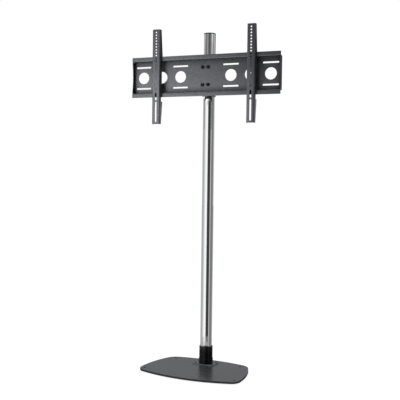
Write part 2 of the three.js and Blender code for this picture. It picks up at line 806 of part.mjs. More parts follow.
// The origin moves from the pole's axis to the middle of the turned foot plate, front to back
function outlineMiddle() {
  const reaches = baseOutline().getPoints(sideFacets / 2).map((point) => (
    point.x * Math.sin(baseTurn) + point.y * Math.cos(baseTurn)
  ));
  return (Math.max(...reaches) + Math.min(...reaches)) / 2;
}

const stand = groupOf(foot(), head());
stand.position.y = -outlineMiddle();

export default stand;
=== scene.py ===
"""A floor stand for a flat screen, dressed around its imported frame.

Metres, +Z up, the screen side faces -Y. Each piece takes its place from the frame's solids.
"""

import json
import logging
import math
from collections.abc import Iterable, Sequence
from dataclasses import dataclass, field
from enum import Enum

import bmesh
import bpy
from mathutils import Euler, Matrix, Vector


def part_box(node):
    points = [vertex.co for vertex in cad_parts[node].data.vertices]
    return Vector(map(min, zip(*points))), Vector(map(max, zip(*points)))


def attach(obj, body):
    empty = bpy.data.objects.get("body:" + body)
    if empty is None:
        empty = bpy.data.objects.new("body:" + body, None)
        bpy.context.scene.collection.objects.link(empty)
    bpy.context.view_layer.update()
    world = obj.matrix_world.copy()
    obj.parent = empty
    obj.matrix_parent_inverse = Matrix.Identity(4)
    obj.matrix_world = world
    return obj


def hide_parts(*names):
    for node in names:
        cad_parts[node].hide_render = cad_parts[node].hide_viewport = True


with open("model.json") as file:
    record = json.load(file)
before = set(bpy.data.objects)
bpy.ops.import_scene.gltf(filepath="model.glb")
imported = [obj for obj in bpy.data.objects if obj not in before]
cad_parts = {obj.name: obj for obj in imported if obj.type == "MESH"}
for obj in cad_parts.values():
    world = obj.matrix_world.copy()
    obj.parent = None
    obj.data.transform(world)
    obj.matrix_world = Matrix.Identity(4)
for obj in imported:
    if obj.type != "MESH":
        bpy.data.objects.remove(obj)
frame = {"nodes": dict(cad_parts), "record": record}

log = logging.getLogger("stand")

WELD = 1e-6
OVERRUN = 0.003
SEAT_GAP = 0.0003
SHARP_ANGLE = math.radians(32)
FLAT_ANGLE = math.radians(0.1)
EDGE_STEPS = 2
# Samples for the painted shade in a finish's folds.
PAINTED_SHADE_SAMPLES = 8
SPECKLE_DETAIL = 1.0
HAZE_DETAIL = 4.0
RELIEF_DETAIL = 2.0
NOISE_LOW = 0.3
NOISE_HIGH = 0.7

UP = Vector((0, 0, 1))
Colour = tuple[float, float, float, float]
# The colour of the painted shade in folds and creases.
PAINTED_SHADE_COLOUR: Colour = (0.01, 0.01, 0.01, 1)
WHITE: Colour = (1, 1, 1, 1)


class Steps(Enum):
    """How finely a round shape is divided."""

    TUBE = 128
    SIDE = 40
    WINDOW = 96
    SCREW = 48
    BORE = 40
    CORNER = 10
    FOLD = 8
    HEXAGON = 6


class Join(Enum):
    """How two forms are put together."""

    ADD = "UNION"
    CUT = "DIFFERENCE"
    SHARE = "INTERSECT"


class Rounded(Enum):
    """What a rounding is put on."""

    CORNERS = "VERTICES"
    EDGES = "EDGES"


class Toward(Enum):
    """Which way a form built along +Z is turned before it is placed."""

    DOWN = Matrix.Rotation(math.pi, 4, "X")
    BACK = Matrix.Rotation(-math.pi / 2, 4, "X")
    FRONT = Matrix.Rotation(math.pi / 2, 4, "X")
    RIGHT = Matrix(((0, 0, 1, 0), (1, 0, 0, 0), (0, 1, 0, 0), (0, 0, 0, 1)))


@dataclass(frozen=True)
class Corner:
    """A corner of a flat outline, and how far along its sides its rounding reaches."""

    u: float
    v: float
    rounding: float = 0.0


def linked(name: str, data: bpy.types.ID) -> bpy.types.Object:
    """Puts a new object in the scene.

    Args:
        name: Its name.
        data: Its mesh, light or camera.

    Returns:
        The object.
    """
    item = bpy.data.objects.new(name, data)
    bpy.context.scene.collection.objects.link(item)
    return item


class Form:
    """One shape, made with mesh operators around the Z axis."""

    def __init__(self) -> None:
        """Starts with nothing."""
        self.mesh = bmesh.new()

    @classmethod
    def outline(cls, corners: Sequence[Corner]) -> "Form":
        """A flat face in the XY plane.

        Args:
            corners: The outline's corners, counter-clockwise.

        Returns:
            The face as a form.
        """
        form = cls()
        points = [form.mesh.verts.new((corner.u, corner.v, 0)) for corner in corners]
        form.mesh.faces.new(points)
        for rounding in sorted({corner.rounding for corner in corners} - {0.0}):
            picked = [p for p, corner in zip(points, corners) if corner.rounding == rounding]
            form.round_off(picked, rounding, Steps.CORNER, Rounded.CORNERS)
        return form

    @classmethod
    def turned(cls, section: Sequence[Corner], steps: Steps = Steps.SCREW) -> "Form":
        """A shape turned around Z.

        Args:
            section: Its half section as radius and height, counter-clockwise.
            steps: How finely the round is divided.

        Returns:
            The closed form.
        """
        form = cls.outline(section)
        bm = form.mesh
        bmesh.ops.rotate(bm, verts=bm.verts[:], cent=(0, 0, 0),
                         matrix=Matrix.Rotation(math.pi / 2, 3, "X"))
        on_axis = [e for e in bm.edges if all(abs(v.co.x) < WELD for v in e.verts)]
        bmesh.ops.delete(bm, geom=bm.faces[:], context="FACES_ONLY")
        bmesh.ops.delete(bm, geom=on_axis, context="EDGES")
        bmesh.ops.spin(bm, geom=bm.verts[:] + bm.edges[:], cent=(0, 0, 0), axis=UP,
                       angle=2 * math.pi, steps=steps.value, use_merge=True)
        return form.closed()

    @classmethod
    def rod(cls, radius: float, low: float, high: float, steps: Steps = Steps.BORE) -> "Form":
        """A round bar along Z.

        Args:
            radius: Its radius.
            low: Its lower end.
            high: Its upper end.
            steps: How finely the round is divided.

        Returns:
            The closed form.
        """
        form = cls()
        bmesh.ops.create_circle(form.mesh, cap_ends=True, segments=steps.value, radius=radius)
        return form.raised(high - low).moved((0, 0, low))

    @classmethod
    def drill(cls, radius: float, near: float, far: float, place: tuple[float, float],
              steps: Steps = Steps.BORE) -> "Form":
        """A round bar along Y, which cuts a bore from front to back.

        Args:
            radius: Its radius.
            near: Its front end.
            far: Its back end.
            place: Its place across and its height.
            steps: How finely the round is divided.

        Returns:
            The closed form.
        """
        across, height = place
        return cls.rod(radius, near, far, steps).set(Toward.BACK).moved((across, 0, height))

    @classmethod
    def slot(cls, length: float, width: float, depth: float) -> "Form":
        """A bar along Z with round ends, longest along X.

        Args:
            length: Its length from end to end.
            width: Its width.
            depth: Its height along Z.

        Returns:
            The closed form.
        """
        form = cls()
        bm = form.mesh
        turns = Steps.BORE.value
        bmesh.ops.create_circle(bm, cap_ends=True, segments=turns, radius=width / 2)
        bmesh.ops.rotate(bm, verts=bm.verts[:], cent=(0, 0, 0),
                         matrix=Matrix.Rotation(math.pi / turns, 3, "Z"))
        for vertex in bm.verts:
            vertex.co.x += math.copysign((length - width) / 2, vertex.co.x)
        return form.raised(depth)

    @classmethod
    def prism(cls, corners: Sequence[Corner], height: float) -> "Form":
        """A flat outline raised along Z.

        Args:
            corners: The outline's corners, counter-clockwise.
            height: How far it is raised.

        Returns:
            The closed form.
        """
        return cls.outline(corners).raised(height)

    @classmethod
    def folded(cls, line: Sequence[Corner], length: float, sheet: float) -> "Form":
        """A folded sheet, from the line that one of its faces follows.

        Args:
            line: The line's corners in the XY plane. The sheet lies on its left.
            length: The sheet's length along Z.
            sheet: Its thickness.

        Returns:
            The closed form.
        """
        form = cls()
        bm = form.mesh
        points = [bm.verts.new((corner.u, corner.v, 0)) for corner in line]
        edges = [bm.edges.new(pair) for pair in zip(points, points[1:])]
        raised = bmesh.ops.extrude_edge_only(bm, edges=edges)["geom"]
        bmesh.ops.translate(bm, vec=(0, 0, length),
                            verts=[g for g in raised if isinstance(g, bmesh.types.BMVert)])
        folds: dict[float, list] = {}
        for point, corner in zip(points, line):
            upright = [e for e in point.link_edges if abs(e.verts[0].co.z - e.verts[1].co.z) > WELD]
            if corner.rounding:
                folds.setdefault(corner.rounding, []).extend(upright)
        for rounding, picked in sorted(folds.items()):
            form.round_off(picked, rounding, Steps.FOLD, Rounded.EDGES)
        bmesh.ops.solidify(bm, geom=bm.faces[:], thickness=-sheet)
        return form.closed()

    def round_off(self, geom: list, reach: float, steps: Steps, what: Rounded) -> None:
        """Rounds corners or edges.

        Args:
            geom: The vertices or edges.
            reach: How far the rounding reaches.
            steps: How finely it is divided.
            what: Which of the two they are.
        """
        bmesh.ops.bevel(self.mesh, geom=geom, offset=reach, offset_type="OFFSET",
                        segments=steps.value, profile=0.5, affect=what.value,
                        clamp_overlap=True, material=-1)

    def closed(self) -> "Form":
        """Welds doubled points and turns every face outwards.

        Returns:
            This form.
        """
        bmesh.ops.remove_doubles(self.mesh, verts=self.mesh.verts[:], dist=WELD)
        bmesh.ops.recalc_face_normals(self.mesh, faces=self.mesh.faces[:])
        return self

    def raised(self, height: float) -> "Form":
        """Gives a flat face a height along Z.

        Args:
            height: The height.

        Returns:
            This form, closed.
        """
        bm = self.mesh
        raised = bmesh.ops.extrude_face_region(bm, geom=bm.faces[:], use_keep_orig=True)["geom"]
        bmesh.ops.translate(bm, vec=(0, 0, height),
                            verts=[g for g in raised if isinstance(g, bmesh.types.BMVert)])
        return self.closed()

    def moved(self, offset: Sequence[float]) -> "Form":
        """Moves the form."""
        bmesh.ops.translate(self.mesh, vec=offset, verts=self.mesh.verts[:])
        return self

    def set(self, turn: Matrix | Toward) -> "Form":
        """Turns the form, and moves it where the turn has a place.

        Args:
            turn: The turn, as a matrix or a named one.

        Returns:
            This form.
        """
        matrix = turn.value if isinstance(turn, Toward) else turn
        bmesh.ops.transform(self.mesh, matrix=matrix, verts=self.mesh.verts[:])
        return self

    def beside(self, others: Iterable["Form"]) -> "Form":
        """Adds separate shapes to this one.

        Args:
            others: Shapes that don't touch this one or each other.

        Returns:
            This form.
        """
        for other in others:
            mesh = other.as_mesh("beside")
            self.mesh.from_mesh(mesh)
            bpy.data.meshes.remove(mesh)
        return self

    def joined(self, other: "Form", how: Join) -> "Form":
        """Puts two closed forms together.

        Args:
            other: The second form.
            how: Whether it is added, cut away or shared.

        Returns:
            The new closed form.
        """
        objects = [linked("form", form.as_mesh("form")) for form in (self, other)]
        step = objects[0].modifiers.new("join", "BOOLEAN")
        step.object = objects[1]
        step.operation = how.value
        step.solver = "EXACT"
        result = Form()
        evaluated = objects[0].evaluated_get(bpy.context.evaluated_depsgraph_get())
        result.mesh.from_mesh(evaluated.to_mesh())
        evaluated.to_mesh_clear()
        for item in objects:
            mesh = item.data
            bpy.data.objects.remove(item)
            bpy.data.meshes.remove(mesh)
        bmesh.ops.remove_doubles(result.mesh, verts=result.mesh.verts[:], dist=WELD)
        return result

    def pierced(self, cutters: Sequence["Form"]) -> "Form":
        """Cuts separate openings."""
        return self.joined(cutters[0].beside(cutters[1:]), Join.CUT)

    def flattened(self) -> "Form":
        """Makes one face of the faces that lie flat against each other.

        Returns:
            This form.
        """
        bmesh.ops.dissolve_limit(self.mesh, angle_limit=FLAT_ANGLE, verts=self.mesh.verts[:],
                                 edges=self.mesh.edges[:])
        return self

    def as_mesh(self, name: str) -> bpy.types.Mesh:
        """Writes the form to a new mesh and lets go of its own.

        Args:
            name: The mesh's name.

        Returns:
            The mesh.
        """
        mesh = bpy.data.meshes.new(name)
        self.mesh.to_mesh(mesh)
        self.mesh.free()
        return mesh


class NodeTree:
    """A material's or world's nodes, added and wired in short lines."""

    def __init__(self, owner: bpy.types.Material | bpy.types.World) -> None:
        """Empties the owner's nodes.

        Args:
            owner: The material or world.
        """
        owner.use_nodes = True
        self.tree = owner.node_tree
        self.tree.nodes.clear()

    def add(self, kind: str, **values: object) -> bpy.types.Node:
        """Adds a node.

        Args:
            kind: The node's type, without its ShaderNode prefix.
            **values: Its properties, or its inputs by name with _ for a space.

        Returns:
            The node.
        """
        node = self.tree.nodes.new("ShaderNode" + kind)
        for name, value in values.items():
            if hasattr(node, name):
                setattr(node, name, value)
            else:
                node.inputs[name.replace("_", " ")].default_value = value
        return node

    def wire(self, out: bpy.types.NodeSocket, into: bpy.types.NodeSocket) -> None:
        """Joins two sockets."""
        self.tree.links.new(out, into)

    def noise(self, place: bpy.types.NodeSocket, scale: float,
              detail: float) -> bpy.types.NodeSocket:
        """Adds a noise pattern.

        Args:
            place: The coordinates that it follows.
            scale: Its scale, as waves in a metre.
            detail: How many finer layers it has.

        Returns:
            The socket that holds its value.
        """
        pattern = self.add("TexNoise", Scale=scale, Detail=detail)
        self.wire(place, pattern.inputs["Vector"])
        return pattern.outputs["Fac"]


@dataclass(frozen=True)
class Grain:
    """A fine relief and an uneven gloss over a surface.

    Attributes:
        scale: Noise scale, as waves in a metre.
        stretch: How the pattern is stretched along X, Y and Z.
        depth: The relief's height in metres.
        strength: How much of the relief shows.
        haze: How much the roughness wanders either way.
        haze_scale: Noise scale of that wandering.
    """

    scale: float
    depth: float
    strength: float
    haze: float
    haze_scale: float = 9.0
    stretch: tuple[float, float, float] = (1.0, 1.0, 1.0)


@dataclass(frozen=True)
class Finish:
    """A surface finish.

    Attributes:
        colour: Its base colour.
        tint: The colour that its fine speckle drifts to.
        metallic: How metallic it is.
        roughness: Its middle roughness.
        grain: Its relief and haze.
        specular: Specular level.
        speckle_scale: Noise scale of the speckle, as waves in a metre.
        painted_shade_reach: How far from its own folds a painted shade darkens its colour, if it
            has one.
    """

    colour: Colour
    tint: Colour
    metallic: float
    roughness: float
    grain: Grain
    specular: float = 0.5
    speckle_scale: float = 1400.0
    painted_shade_reach: float = 0.0

    def material(self, name: str) -> bpy.types.Material:
        """Builds the material.

        Args:
            name: The material's name.

        Returns:
            The material.
        """
        material = bpy.data.materials.new(name)
        nodes = NodeTree(material)
        shader = nodes.add("BsdfPrincipled", Metallic=self.metallic,
                           Specular_IOR_Level=self.specular)
        output = nodes.add("OutputMaterial")
        nodes.wire(shader.outputs["BSDF"], output.inputs["Surface"])
        place = nodes.add("TexCoord").outputs["Object"]
        mapping = nodes.add("Mapping", Scale=self.grain.stretch)
        nodes.wire(place, mapping.inputs["Vector"])
        stretched = mapping.outputs["Vector"]

        blend = nodes.add("MixRGB", Color1=self.colour, Color2=self.tint)
        nodes.wire(nodes.noise(place, self.speckle_scale, SPECKLE_DETAIL), blend.inputs["Fac"])
        shown = blend.outputs["Color"]
        # Painted shade: ambient occlusion darkens the colour in the piece's own folds and creases.
        if self.painted_shade_reach:
            shown = self.with_painted_shade(nodes, shown)
        nodes.wire(shown, shader.inputs["Base Color"])

        cloud = nodes.noise(stretched, self.grain.haze_scale, HAZE_DETAIL)
        haze = nodes.add("MapRange", From_Min=NOISE_LOW, From_Max=NOISE_HIGH,
                         To_Min=self.roughness - self.grain.haze,
                         To_Max=self.roughness + self.grain.haze)
        nodes.wire(cloud, haze.inputs["Value"])
        nodes.wire(haze.outputs["Result"], shader.inputs["Roughness"])

        relief = nodes.noise(stretched, self.grain.scale, RELIEF_DETAIL)
        bump = nodes.add("Bump", Strength=self.grain.strength, Distance=self.grain.depth)
        nodes.wire(relief, bump.inputs["Height"])
        nodes.wire(bump.outputs["Normal"], shader.inputs["Normal"])
        return material

    def with_painted_shade(self, nodes: NodeTree, colour: bpy.types.NodeSocket) -> bpy.types.NodeSocket:
        """The colour with painted shade in the piece's own folds, which depends on the piece alone
        and not on what stands near.

        Args:
            nodes: The material's nodes.
            colour: The colour on open faces.

        Returns:
            The socket that holds both.
        """
        # The open share is how open a point is; its square mixes in the painted shade colour.
        open_share = nodes.add("AmbientOcclusion", Distance=self.painted_shade_reach, only_local=True,
                               samples=PAINTED_SHADE_SAMPLES)
        squared = nodes.add("Math", operation="MULTIPLY")
        mixed = nodes.add("MixRGB", Color1=PAINTED_SHADE_COLOUR)
        for entry in squared.inputs[:2]:
            nodes.wire(open_share.outputs["AO"], entry)
        nodes.wire(squared.outputs[0], mixed.inputs["Fac"])
        nodes.wire(colour, mixed.inputs["Color2"])
        return mixed.outputs["Color"]


class Slot(Enum):
    """The record's material slots with their finishes."""

    # The grey coat has painted shade in its folds and creases, reaching 35 mm.
    grey_coat = Finish(
        colour=(0.150, 0.154, 0.167, 1), tint=(0.180, 0.184, 0.199, 1), metallic=0.65,
        roughness=0.27, grain=Grain(scale=420, depth=0.0001, strength=0.06, haze=0.02),
        painted_shade_reach=0.035)
    black_coat = Finish(
        colour=(0.003, 0.003, 0.0035, 1), tint=(0.005, 0.005, 0.0055, 1), metallic=0.0,
        roughness=0.2, grain=Grain(scale=500, depth=0.0001, strength=0.1, haze=0.03),
        specular=0.35)
    chrome = Finish(
        colour=(0.80, 0.81, 0.82, 1), tint=(0.83, 0.84, 0.85, 1), metallic=1.0,
        roughness=0.05, grain=Grain(scale=16, depth=0.0002, strength=0.04, haze=0.015,
                                    stretch=(1.0, 1.0, 0.06)))
    dark_steel = Finish(
        colour=(0.016, 0.016, 0.018, 1), tint=(0.026, 0.026, 0.028, 1), metallic=0.8,
        roughness=0.25, grain=Grain(scale=900, depth=0.00005, strength=0.15, haze=0.06))
    plain_steel = Finish(
        colour=(0.55, 0.56, 0.57, 1), tint=(0.66, 0.66, 0.65, 1), metallic=1.0,
        roughness=0.3, grain=Grain(scale=800, depth=0.00005, strength=0.15, haze=0.07))
    black_plastic = Finish(
        colour=(0.012, 0.012, 0.013, 1), tint=(0.016, 0.016, 0.017, 1), metallic=0.0,
        roughness=0.42, grain=Grain(scale=1100, depth=0.0001, strength=0.2, haze=0.03))
    pad_rubber = Finish(
        colour=(0.016, 0.016, 0.016, 1), tint=(0.026, 0.026, 0.026, 1), metallic=0.0,
        roughness=0.75, grain=Grain(scale=700, depth=0.0002, strength=0.3, haze=0.06))


class Bench:
    """Finishes forms and fixes them to the frame."""

    def __init__(self) -> None:
        """Builds every finish and gives it to the frame's solids."""
        record = frame["record"]
        self.slots = {part["node"]: part["material_slot"] for part in record["subparts"]}
        self.bodies = {node: body for body, nodes in record["behaviour"]["bodies"].items()
                       for node in nodes}
        self.materials = {slot.name: slot.value.material(slot.name) for slot in Slot}
        for node, solid in frame["nodes"].items():
            solid.data.materials.clear()
            solid.data.materials.append(self.materials[self.slots[node]])

    def fit(self, form: Form, node: str, edge: float = 0.0) -> None:
        """Puts a finished form in the place of a solid.

        Args:
            form: The form, already where the solid is.
            node: The solid's name.
            edge: How far its sharp edges are eased, if they are.
        """
        name = "finished_" + node
        mesh = form.as_mesh(name)
        mesh.materials.append(self.materials[self.slots[node]])
        mesh.shade_smooth()
        mesh.set_sharp_from_angle(angle=SHARP_ANGLE)
        piece = linked(name, mesh)
        if edge:
            ease = piece.modifiers.new("eased edges", "BEVEL")
            ease.width = edge
            ease.segments = EDGE_STEPS
            ease.limit_method = "ANGLE"
            ease.angle_limit = SHARP_ANGLE
            ease.harden_normals = True
            ease.use_clamp_overlap = True
            ease.material = -1
        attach(piece, self.bodies[node])
        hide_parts(node)
        log.info("%s: %d faces", name, len(mesh.polygons))


def middle(node: str) -> Vector:
    """The middle of a solid's box."""
    low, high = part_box(node)
    return (low + high) / 2


def heights(node: str) -> tuple[float, float]:
    """The lowest and highest points of a solid."""
    low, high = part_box(node)
    return low.z, high.z


def over(node: str, height: float = 0.0) -> Matrix:
    """The move from the Z axis to a solid's middle seen from above, at a height."""
    return Matrix.Translation((*middle(node).xy, height))


class Head(Enum):
    """The shape of a screw's head, as the share of its height that its rounding takes."""

    LENS = 0.9
    BUTTON = 0.66
    SOCKET = 0.12


@dataclass(frozen=True)
class Screw:
    """A screw along Z, with its head above z = 0 and a threaded shank below it."""

    shank_radius: float
    shank: float
    head_radius: float
    head_height: float
    key_radius: float
    key_depth: float
    head: Head
    pitch: float
    thread_depth_share: float = 0.6

    def form(self) -> Form:
        """The screw with its ridged shank and hexagonal key hole.

        Returns:
            The closed form.
        """
        section = [Corner(0, -self.shank)]
        ridge = self.pitch * self.thread_depth_share
        count = max(1, int(self.shank / self.pitch))
        rise = self.shank / count
        for turn in range(count):
            foot = turn * rise - self.shank
            section += [Corner(self.shank_radius - ridge, foot),
                        Corner(self.shank_radius, foot + rise / 2)]
        dome = self.head_height * self.head.value
        section += [
            Corner(self.shank_radius - ridge, 0), Corner(self.head_radius, 0),
            Corner(self.head_radius, self.head_height, dome), Corner(0, self.head_height),
        ]
        key = Form.rod(self.key_radius, self.head_height - self.key_depth,
                       self.head_height + OVERRUN, Steps.HEXAGON)
        return Form.turned(section).joined(key, Join.CUT)


@dataclass(frozen=True)
class Grub:
    """A headless screw along Z, from its tip at z = 0 to its keyed end."""

    radius: float
    length: float
    key_radius: float
    key_depth: float
    chamfer: float

    def form(self) -> Form:
        """The screw with its key hole.

        Returns:
            The closed form.
        """
        body = Form.turned([
            Corner(0, 0), Corner(self.radius - self.chamfer, 0), Corner(self.radius, self.chamfer),
            Corner(self.radius, self.length - self.chamfer),
            Corner(self.radius - self.chamfer, self.length), Corner(0, self.length),
        ])
        key = Form.rod(self.key_radius, self.length - self.key_depth, self.length + OVERRUN,
                       Steps.HEXAGON)
        return body.joined(key, Join.CUT)


@dataclass(frozen=True)
class Nut:
    """A hexagonal nut along Z with turned-off corners."""

    radius: float
    bore: float
    height: float
    crown: float

    def form(self) -> Form:
        """The nut with its bore, standing on z = 0.

        Returns:
            The closed form.
        """
        blank = Form.rod(self.radius, 0, self.height, Steps.HEXAGON)
        edge = self.radius - self.crown
        turned = Form.turned([
            Corner(0, 0), Corner(edge, 0), Corner(self.radius + OVERRUN, self.crown + OVERRUN / 2),
            Corner(self.radius + OVERRUN, self.height - self.crown - OVERRUN / 2),
            Corner(edge, self.height), Corner(0, self.height),
        ])
        bore = Form.rod(self.bore, -OVERRUN, self.height + OVERRUN)
        return blank.joined(turned, Join.SHARE).joined(bore, Join.CUT)


@dataclass(frozen=True)
class Foot:
    """The foot plate with its levelling feet and the socket that holds the pole."""

    turn: float = math.radians(-4.6)
    front_half: float = 0.268
    back_half: float = 0.214
    front_reach: float = 0.2345
    back_reach: float = 0.048
    front_rise: float = 0.0515
    back_rise: float = 0.027
    side_rise: float = 0.021
    corner_reach: float = 0.030
    corner_share: float = 0.98
    plate_edge: float = 0.0006

    ends: tuple[str, ...] = ("front_left", "front_right", "back_left", "back_right")
    stud_radius: float = 0.004
    stud_flange_radius: float = 0.007
    stud_flange_height: float = 0.002
    stud_key_radius: float = 0.0023
    stud_key_depth: float = 0.0035
    stud_chamfer: float = 0.0005
    stud_recess: float = 0.0026
    stud_well: float = 0.0062
    pad_radius: float = 0.011
    pad_rounding: float = 0.0009

    flange_half_width: float = 0.060
    flange_half_depth: float = 0.037
    flange_corner: float = 0.008
    flange_rounding: float = 0.0022
    flange_edge: float = 0.0003
    flange_screws: tuple[str, ...] = tuple(f"flange_screw_{number}" for number in range(1, 5))
    flange_screw: Screw = Screw(shank_radius=0.003, shank=0.009, head_radius=0.0052,
                                head_height=0.0028, key_radius=0.0021, key_depth=0.0008,
                                head=Head.LENS, pitch=0.001)

    tube_radius: float = 0.0346
    tube_rounding: float = 0.0012
    groove_drop: float = 0.0265
    groove_width: float = 0.0011
    groove_depth: float = 0.0005
    ring_radius: float = 0.0365
    ring_rounding: float = 0.0011
    ring_foot_rounding: float = 0.0009
    grubs: tuple[str, ...] = ("lower_socket_grub", "upper_socket_grub")
    grub: Grub = Grub(radius=0.004, length=0.005, key_radius=0.0023, key_depth=0.0025,
                      chamfer=0.0005)

    def placed(self, node: str = "sleeve") -> Matrix:
        """The foot's turn, around the middle of a solid seen from above."""
        return over(node) @ Matrix.Rotation(self.turn, 4, "Z")

    def local(self, node: str) -> Vector:
        """The middle of a solid's box, as the unturned foot has it."""
        return self.placed().inverted() @ middle(node)

    def build(self, bench: Bench) -> None:
        """Builds every piece of the foot.

        Args:
            bench: Where the pieces are finished.
        """
        bench.fit(self.plate().set(self.placed()), "base_plate", self.plate_edge)
        for end in self.ends:
            spot = self.placed(end + "_foot_stud")
            bench.fit(self.stud(end).set(spot), end + "_foot_stud")
            bench.fit(self.pad(end).set(spot), end + "_foot_pad")
        bench.fit(self.flange().set(self.placed()), "socket_flange", self.flange_edge)
        for node in self.flange_screws:
            seat = heights(node)[1] - self.flange_screw.head_height
            bench.fit(self.flange_screw.form().set(over(node, seat)), node)
        bench.fit(self.socket().set(self.placed()), "socket_tube")
        bench.fit(self.foot_ring().set(self.placed()), "socket_foot_ring")
        for node in self.grubs:
            tip = Vector((0, self.local(node).y - self.grub.length / 2, middle(node).z))
            form = self.grub.form().set(Toward.BACK).moved(tip)
            bench.fit(form.set(self.placed()), node)

    def plate_outline(self) -> Form:
        """The foot plate's outline with its bulging sides.

        Returns:
            The outline as a flat face.
        """
        corners = [Vector((-self.front_half, -self.front_reach, 0)),
                   Vector((self.front_half, -self.front_reach, 0)),
                   Vector((self.back_half, self.back_reach, 0)),
                   Vector((-self.back_half, self.back_reach, 0))]
        rises = [self.front_rise, self.side_rise, self.back_rise, self.side_rise]
        form = Form()
        bm = form.mesh
        tips = [bm.verts.new(corner) for corner in corners]
        for number, rise in enumerate(rises):
            following = (number + 1) % len(corners)
            first, last = self.side(bm, corners[number], corners[following], rise)
            bm.edges.new((tips[number], first))
            bm.edges.new((last, tips[following]))
        bmesh.ops.contextual_create(bm, geom=bm.edges[:])
        form.round_off(tips, self.corner_reach * self.corner_share, Steps.CORNER,
                       Rounded.CORNERS)
        return form

    def plate(self) -> Form:
        """The foot plate with its stud bores and bolt hole.

        Returns:
            The closed form.
        """
        low, high = heights("base_plate")
        blank = self.plate_outline().raised(high - low).moved((0, 0, low))
        bore = self.stud_radius + SEAT_GAP
        well = high - self.stud_recess
        bores = []
        for end in self.ends:
            place = self.local(end + "_foot_stud")
            bores.append(Form.turned([
                Corner(0, low - OVERRUN), Corner(bore, low - OVERRUN), Corner(bore, well),
                Corner(self.stud_well, well), Corner(self.stud_well, high + OVERRUN),
                Corner(0, high + OVERRUN),
            ]).moved((place.x, place.y, 0)))
        bolt = Pole.bolt
        head_room = low + bolt.head_height + 2 * SEAT_GAP
        bores.append(Form.turned([
            Corner(0, low - OVERRUN), Corner(bolt.head_radius + SEAT_GAP, low - OVERRUN),
            Corner(bolt.head_radius + SEAT_GAP, head_room),
            Corner(bolt.shank_radius + SEAT_GAP, head_room),
            Corner(bolt.shank_radius + SEAT_GAP, high + OVERRUN), Corner(0, high + OVERRUN),
        ]))
        return blank.pierced(bores)

    def side(self, bm: bmesh.types.BMesh, start: Vector, end: Vector,
             rise: float) -> tuple[bmesh.types.BMVert, bmesh.types.BMVert]:
        """Draws one bulging side of the plate, short of its corners.

        Args:
            bm: The mesh that it goes in.
            start: The corner that it comes from.
            end: The corner that it goes to.
            rise: How far it bulges past the straight line.

        Returns:
            Its first and last vertices.
        """
        half = (end - start).length / 2
        radius = (half ** 2 + rise ** 2) / (2 * rise)
        inward = UP.cross(end - start).normalized()
        centre = (start + end) / 2 + inward * (radius - rise)
        trim = 2 * math.asin(self.corner_reach / 2 / radius)
        sweep = 2 * math.asin(half / radius) - 2 * trim
        arm = Matrix.Rotation(trim, 3, "Z") @ (start - centre)
        first = bm.verts.new(centre + arm)
        spun = bmesh.ops.spin(bm, geom=[first], cent=centre, axis=UP, angle=sweep,
                              steps=Steps.SIDE.value)["geom_last"]
        return first, spun[0]

    def stud(self, end: str) -> Form:
        """A levelling stud with its flange and key hole.

        Args:
            end: The corner that it stands in.

        Returns:
            The closed form.
        """
        low, high = heights(end + "_foot_stud")
        high -= self.stud_recess
        flange_top = low + self.stud_flange_height
        body = Form.turned([
            Corner(0, low), Corner(self.stud_flange_radius, low),
            Corner(self.stud_flange_radius, flange_top), Corner(self.stud_radius, flange_top),
            Corner(self.stud_radius, high - self.stud_chamfer),
            Corner(self.stud_radius - self.stud_chamfer, high), Corner(0, high),
        ])
        key = Form.rod(self.stud_key_radius, high - self.stud_key_depth, high + OVERRUN,
                       Steps.HEXAGON)
        return body.joined(key, Join.CUT)

    def pad(self, end: str) -> Form:
        """A soft pad pressed over a stud's flange.

        Args:
            end: The corner that it stands in.

        Returns:
            The closed form.
        """
        low, high = heights(end + "_foot_pad")
        seat = heights(end + "_foot_stud")[0] - SEAT_GAP
        recess = self.stud_flange_radius + SEAT_GAP
        return Form.turned([
            Corner(0, low), Corner(self.pad_radius, low, self.pad_rounding),
            Corner(self.pad_radius, high, self.pad_rounding), Corner(recess, high),
            Corner(recess, seat), Corner(0, seat),
        ])

    def flange(self) -> Form:
        """The thin plate under the socket.

        Returns:
            The closed form.
        """
        low, high = heights("socket_flange")
        x, y, corner = self.flange_half_width, self.flange_half_depth, self.flange_corner
        blank = Form.prism([Corner(-x, -y, corner), Corner(x, -y, corner), Corner(x, y, corner),
                            Corner(-x, y, corner)], high - low).moved((0, 0, low))
        rim = [e for e in blank.mesh.edges if all(abs(v.co.z - high) < WELD for v in e.verts)]
        blank.round_off(rim, self.flange_rounding, Steps.FOLD, Rounded.EDGES)
        below, above = low - OVERRUN, high + OVERRUN
        bores = [Form.rod(Pole.bolt.shank_radius + SEAT_GAP, below, above)]
        for node in self.flange_screws:
            place = self.local(node)
            bore = Form.rod(self.flange_screw.shank_radius + SEAT_GAP, below, above)
            bores.append(bore.moved((place.x, place.y, 0)))
        return blank.pierced(bores)

    def socket(self) -> Form:
        """The black tube round the pole's foot, with its fine groove and grub bores.

        Returns:
            The closed form.
        """
        low, high = heights("socket_tube")
        groove = high - self.groove_drop
        inner = self.tube_radius - self.groove_depth
        bore = Pole.radius + SEAT_GAP
        tube = Form.turned([
            Corner(bore, low), Corner(self.tube_radius, low),
            Corner(self.tube_radius, groove - self.groove_width),
            Corner(inner, groove - self.groove_width / 2), Corner(self.tube_radius, groove),
            Corner(self.tube_radius, high, self.tube_rounding),
            Corner(bore, high, self.tube_rounding / 2),
        ], Steps.TUBE)
        return tube.pierced([
            Form.drill(self.grub.radius + SEAT_GAP, 0, self.tube_radius + OVERRUN,
                       (0, middle(node).z))
            for node in self.grubs
        ])

    def foot_ring(self) -> Form:
        """The wider ring round the socket's foot.

        Returns:
            The closed form.
        """
        low, high = heights("socket_foot_ring")
        bore = self.tube_radius + SEAT_GAP
        return Form.turned([
            Corner(bore, low), Corner(self.ring_radius, low, self.ring_foot_rounding),
            Corner(self.ring_radius, high, self.ring_rounding), Corner(bore, high),
        ], Steps.TUBE)


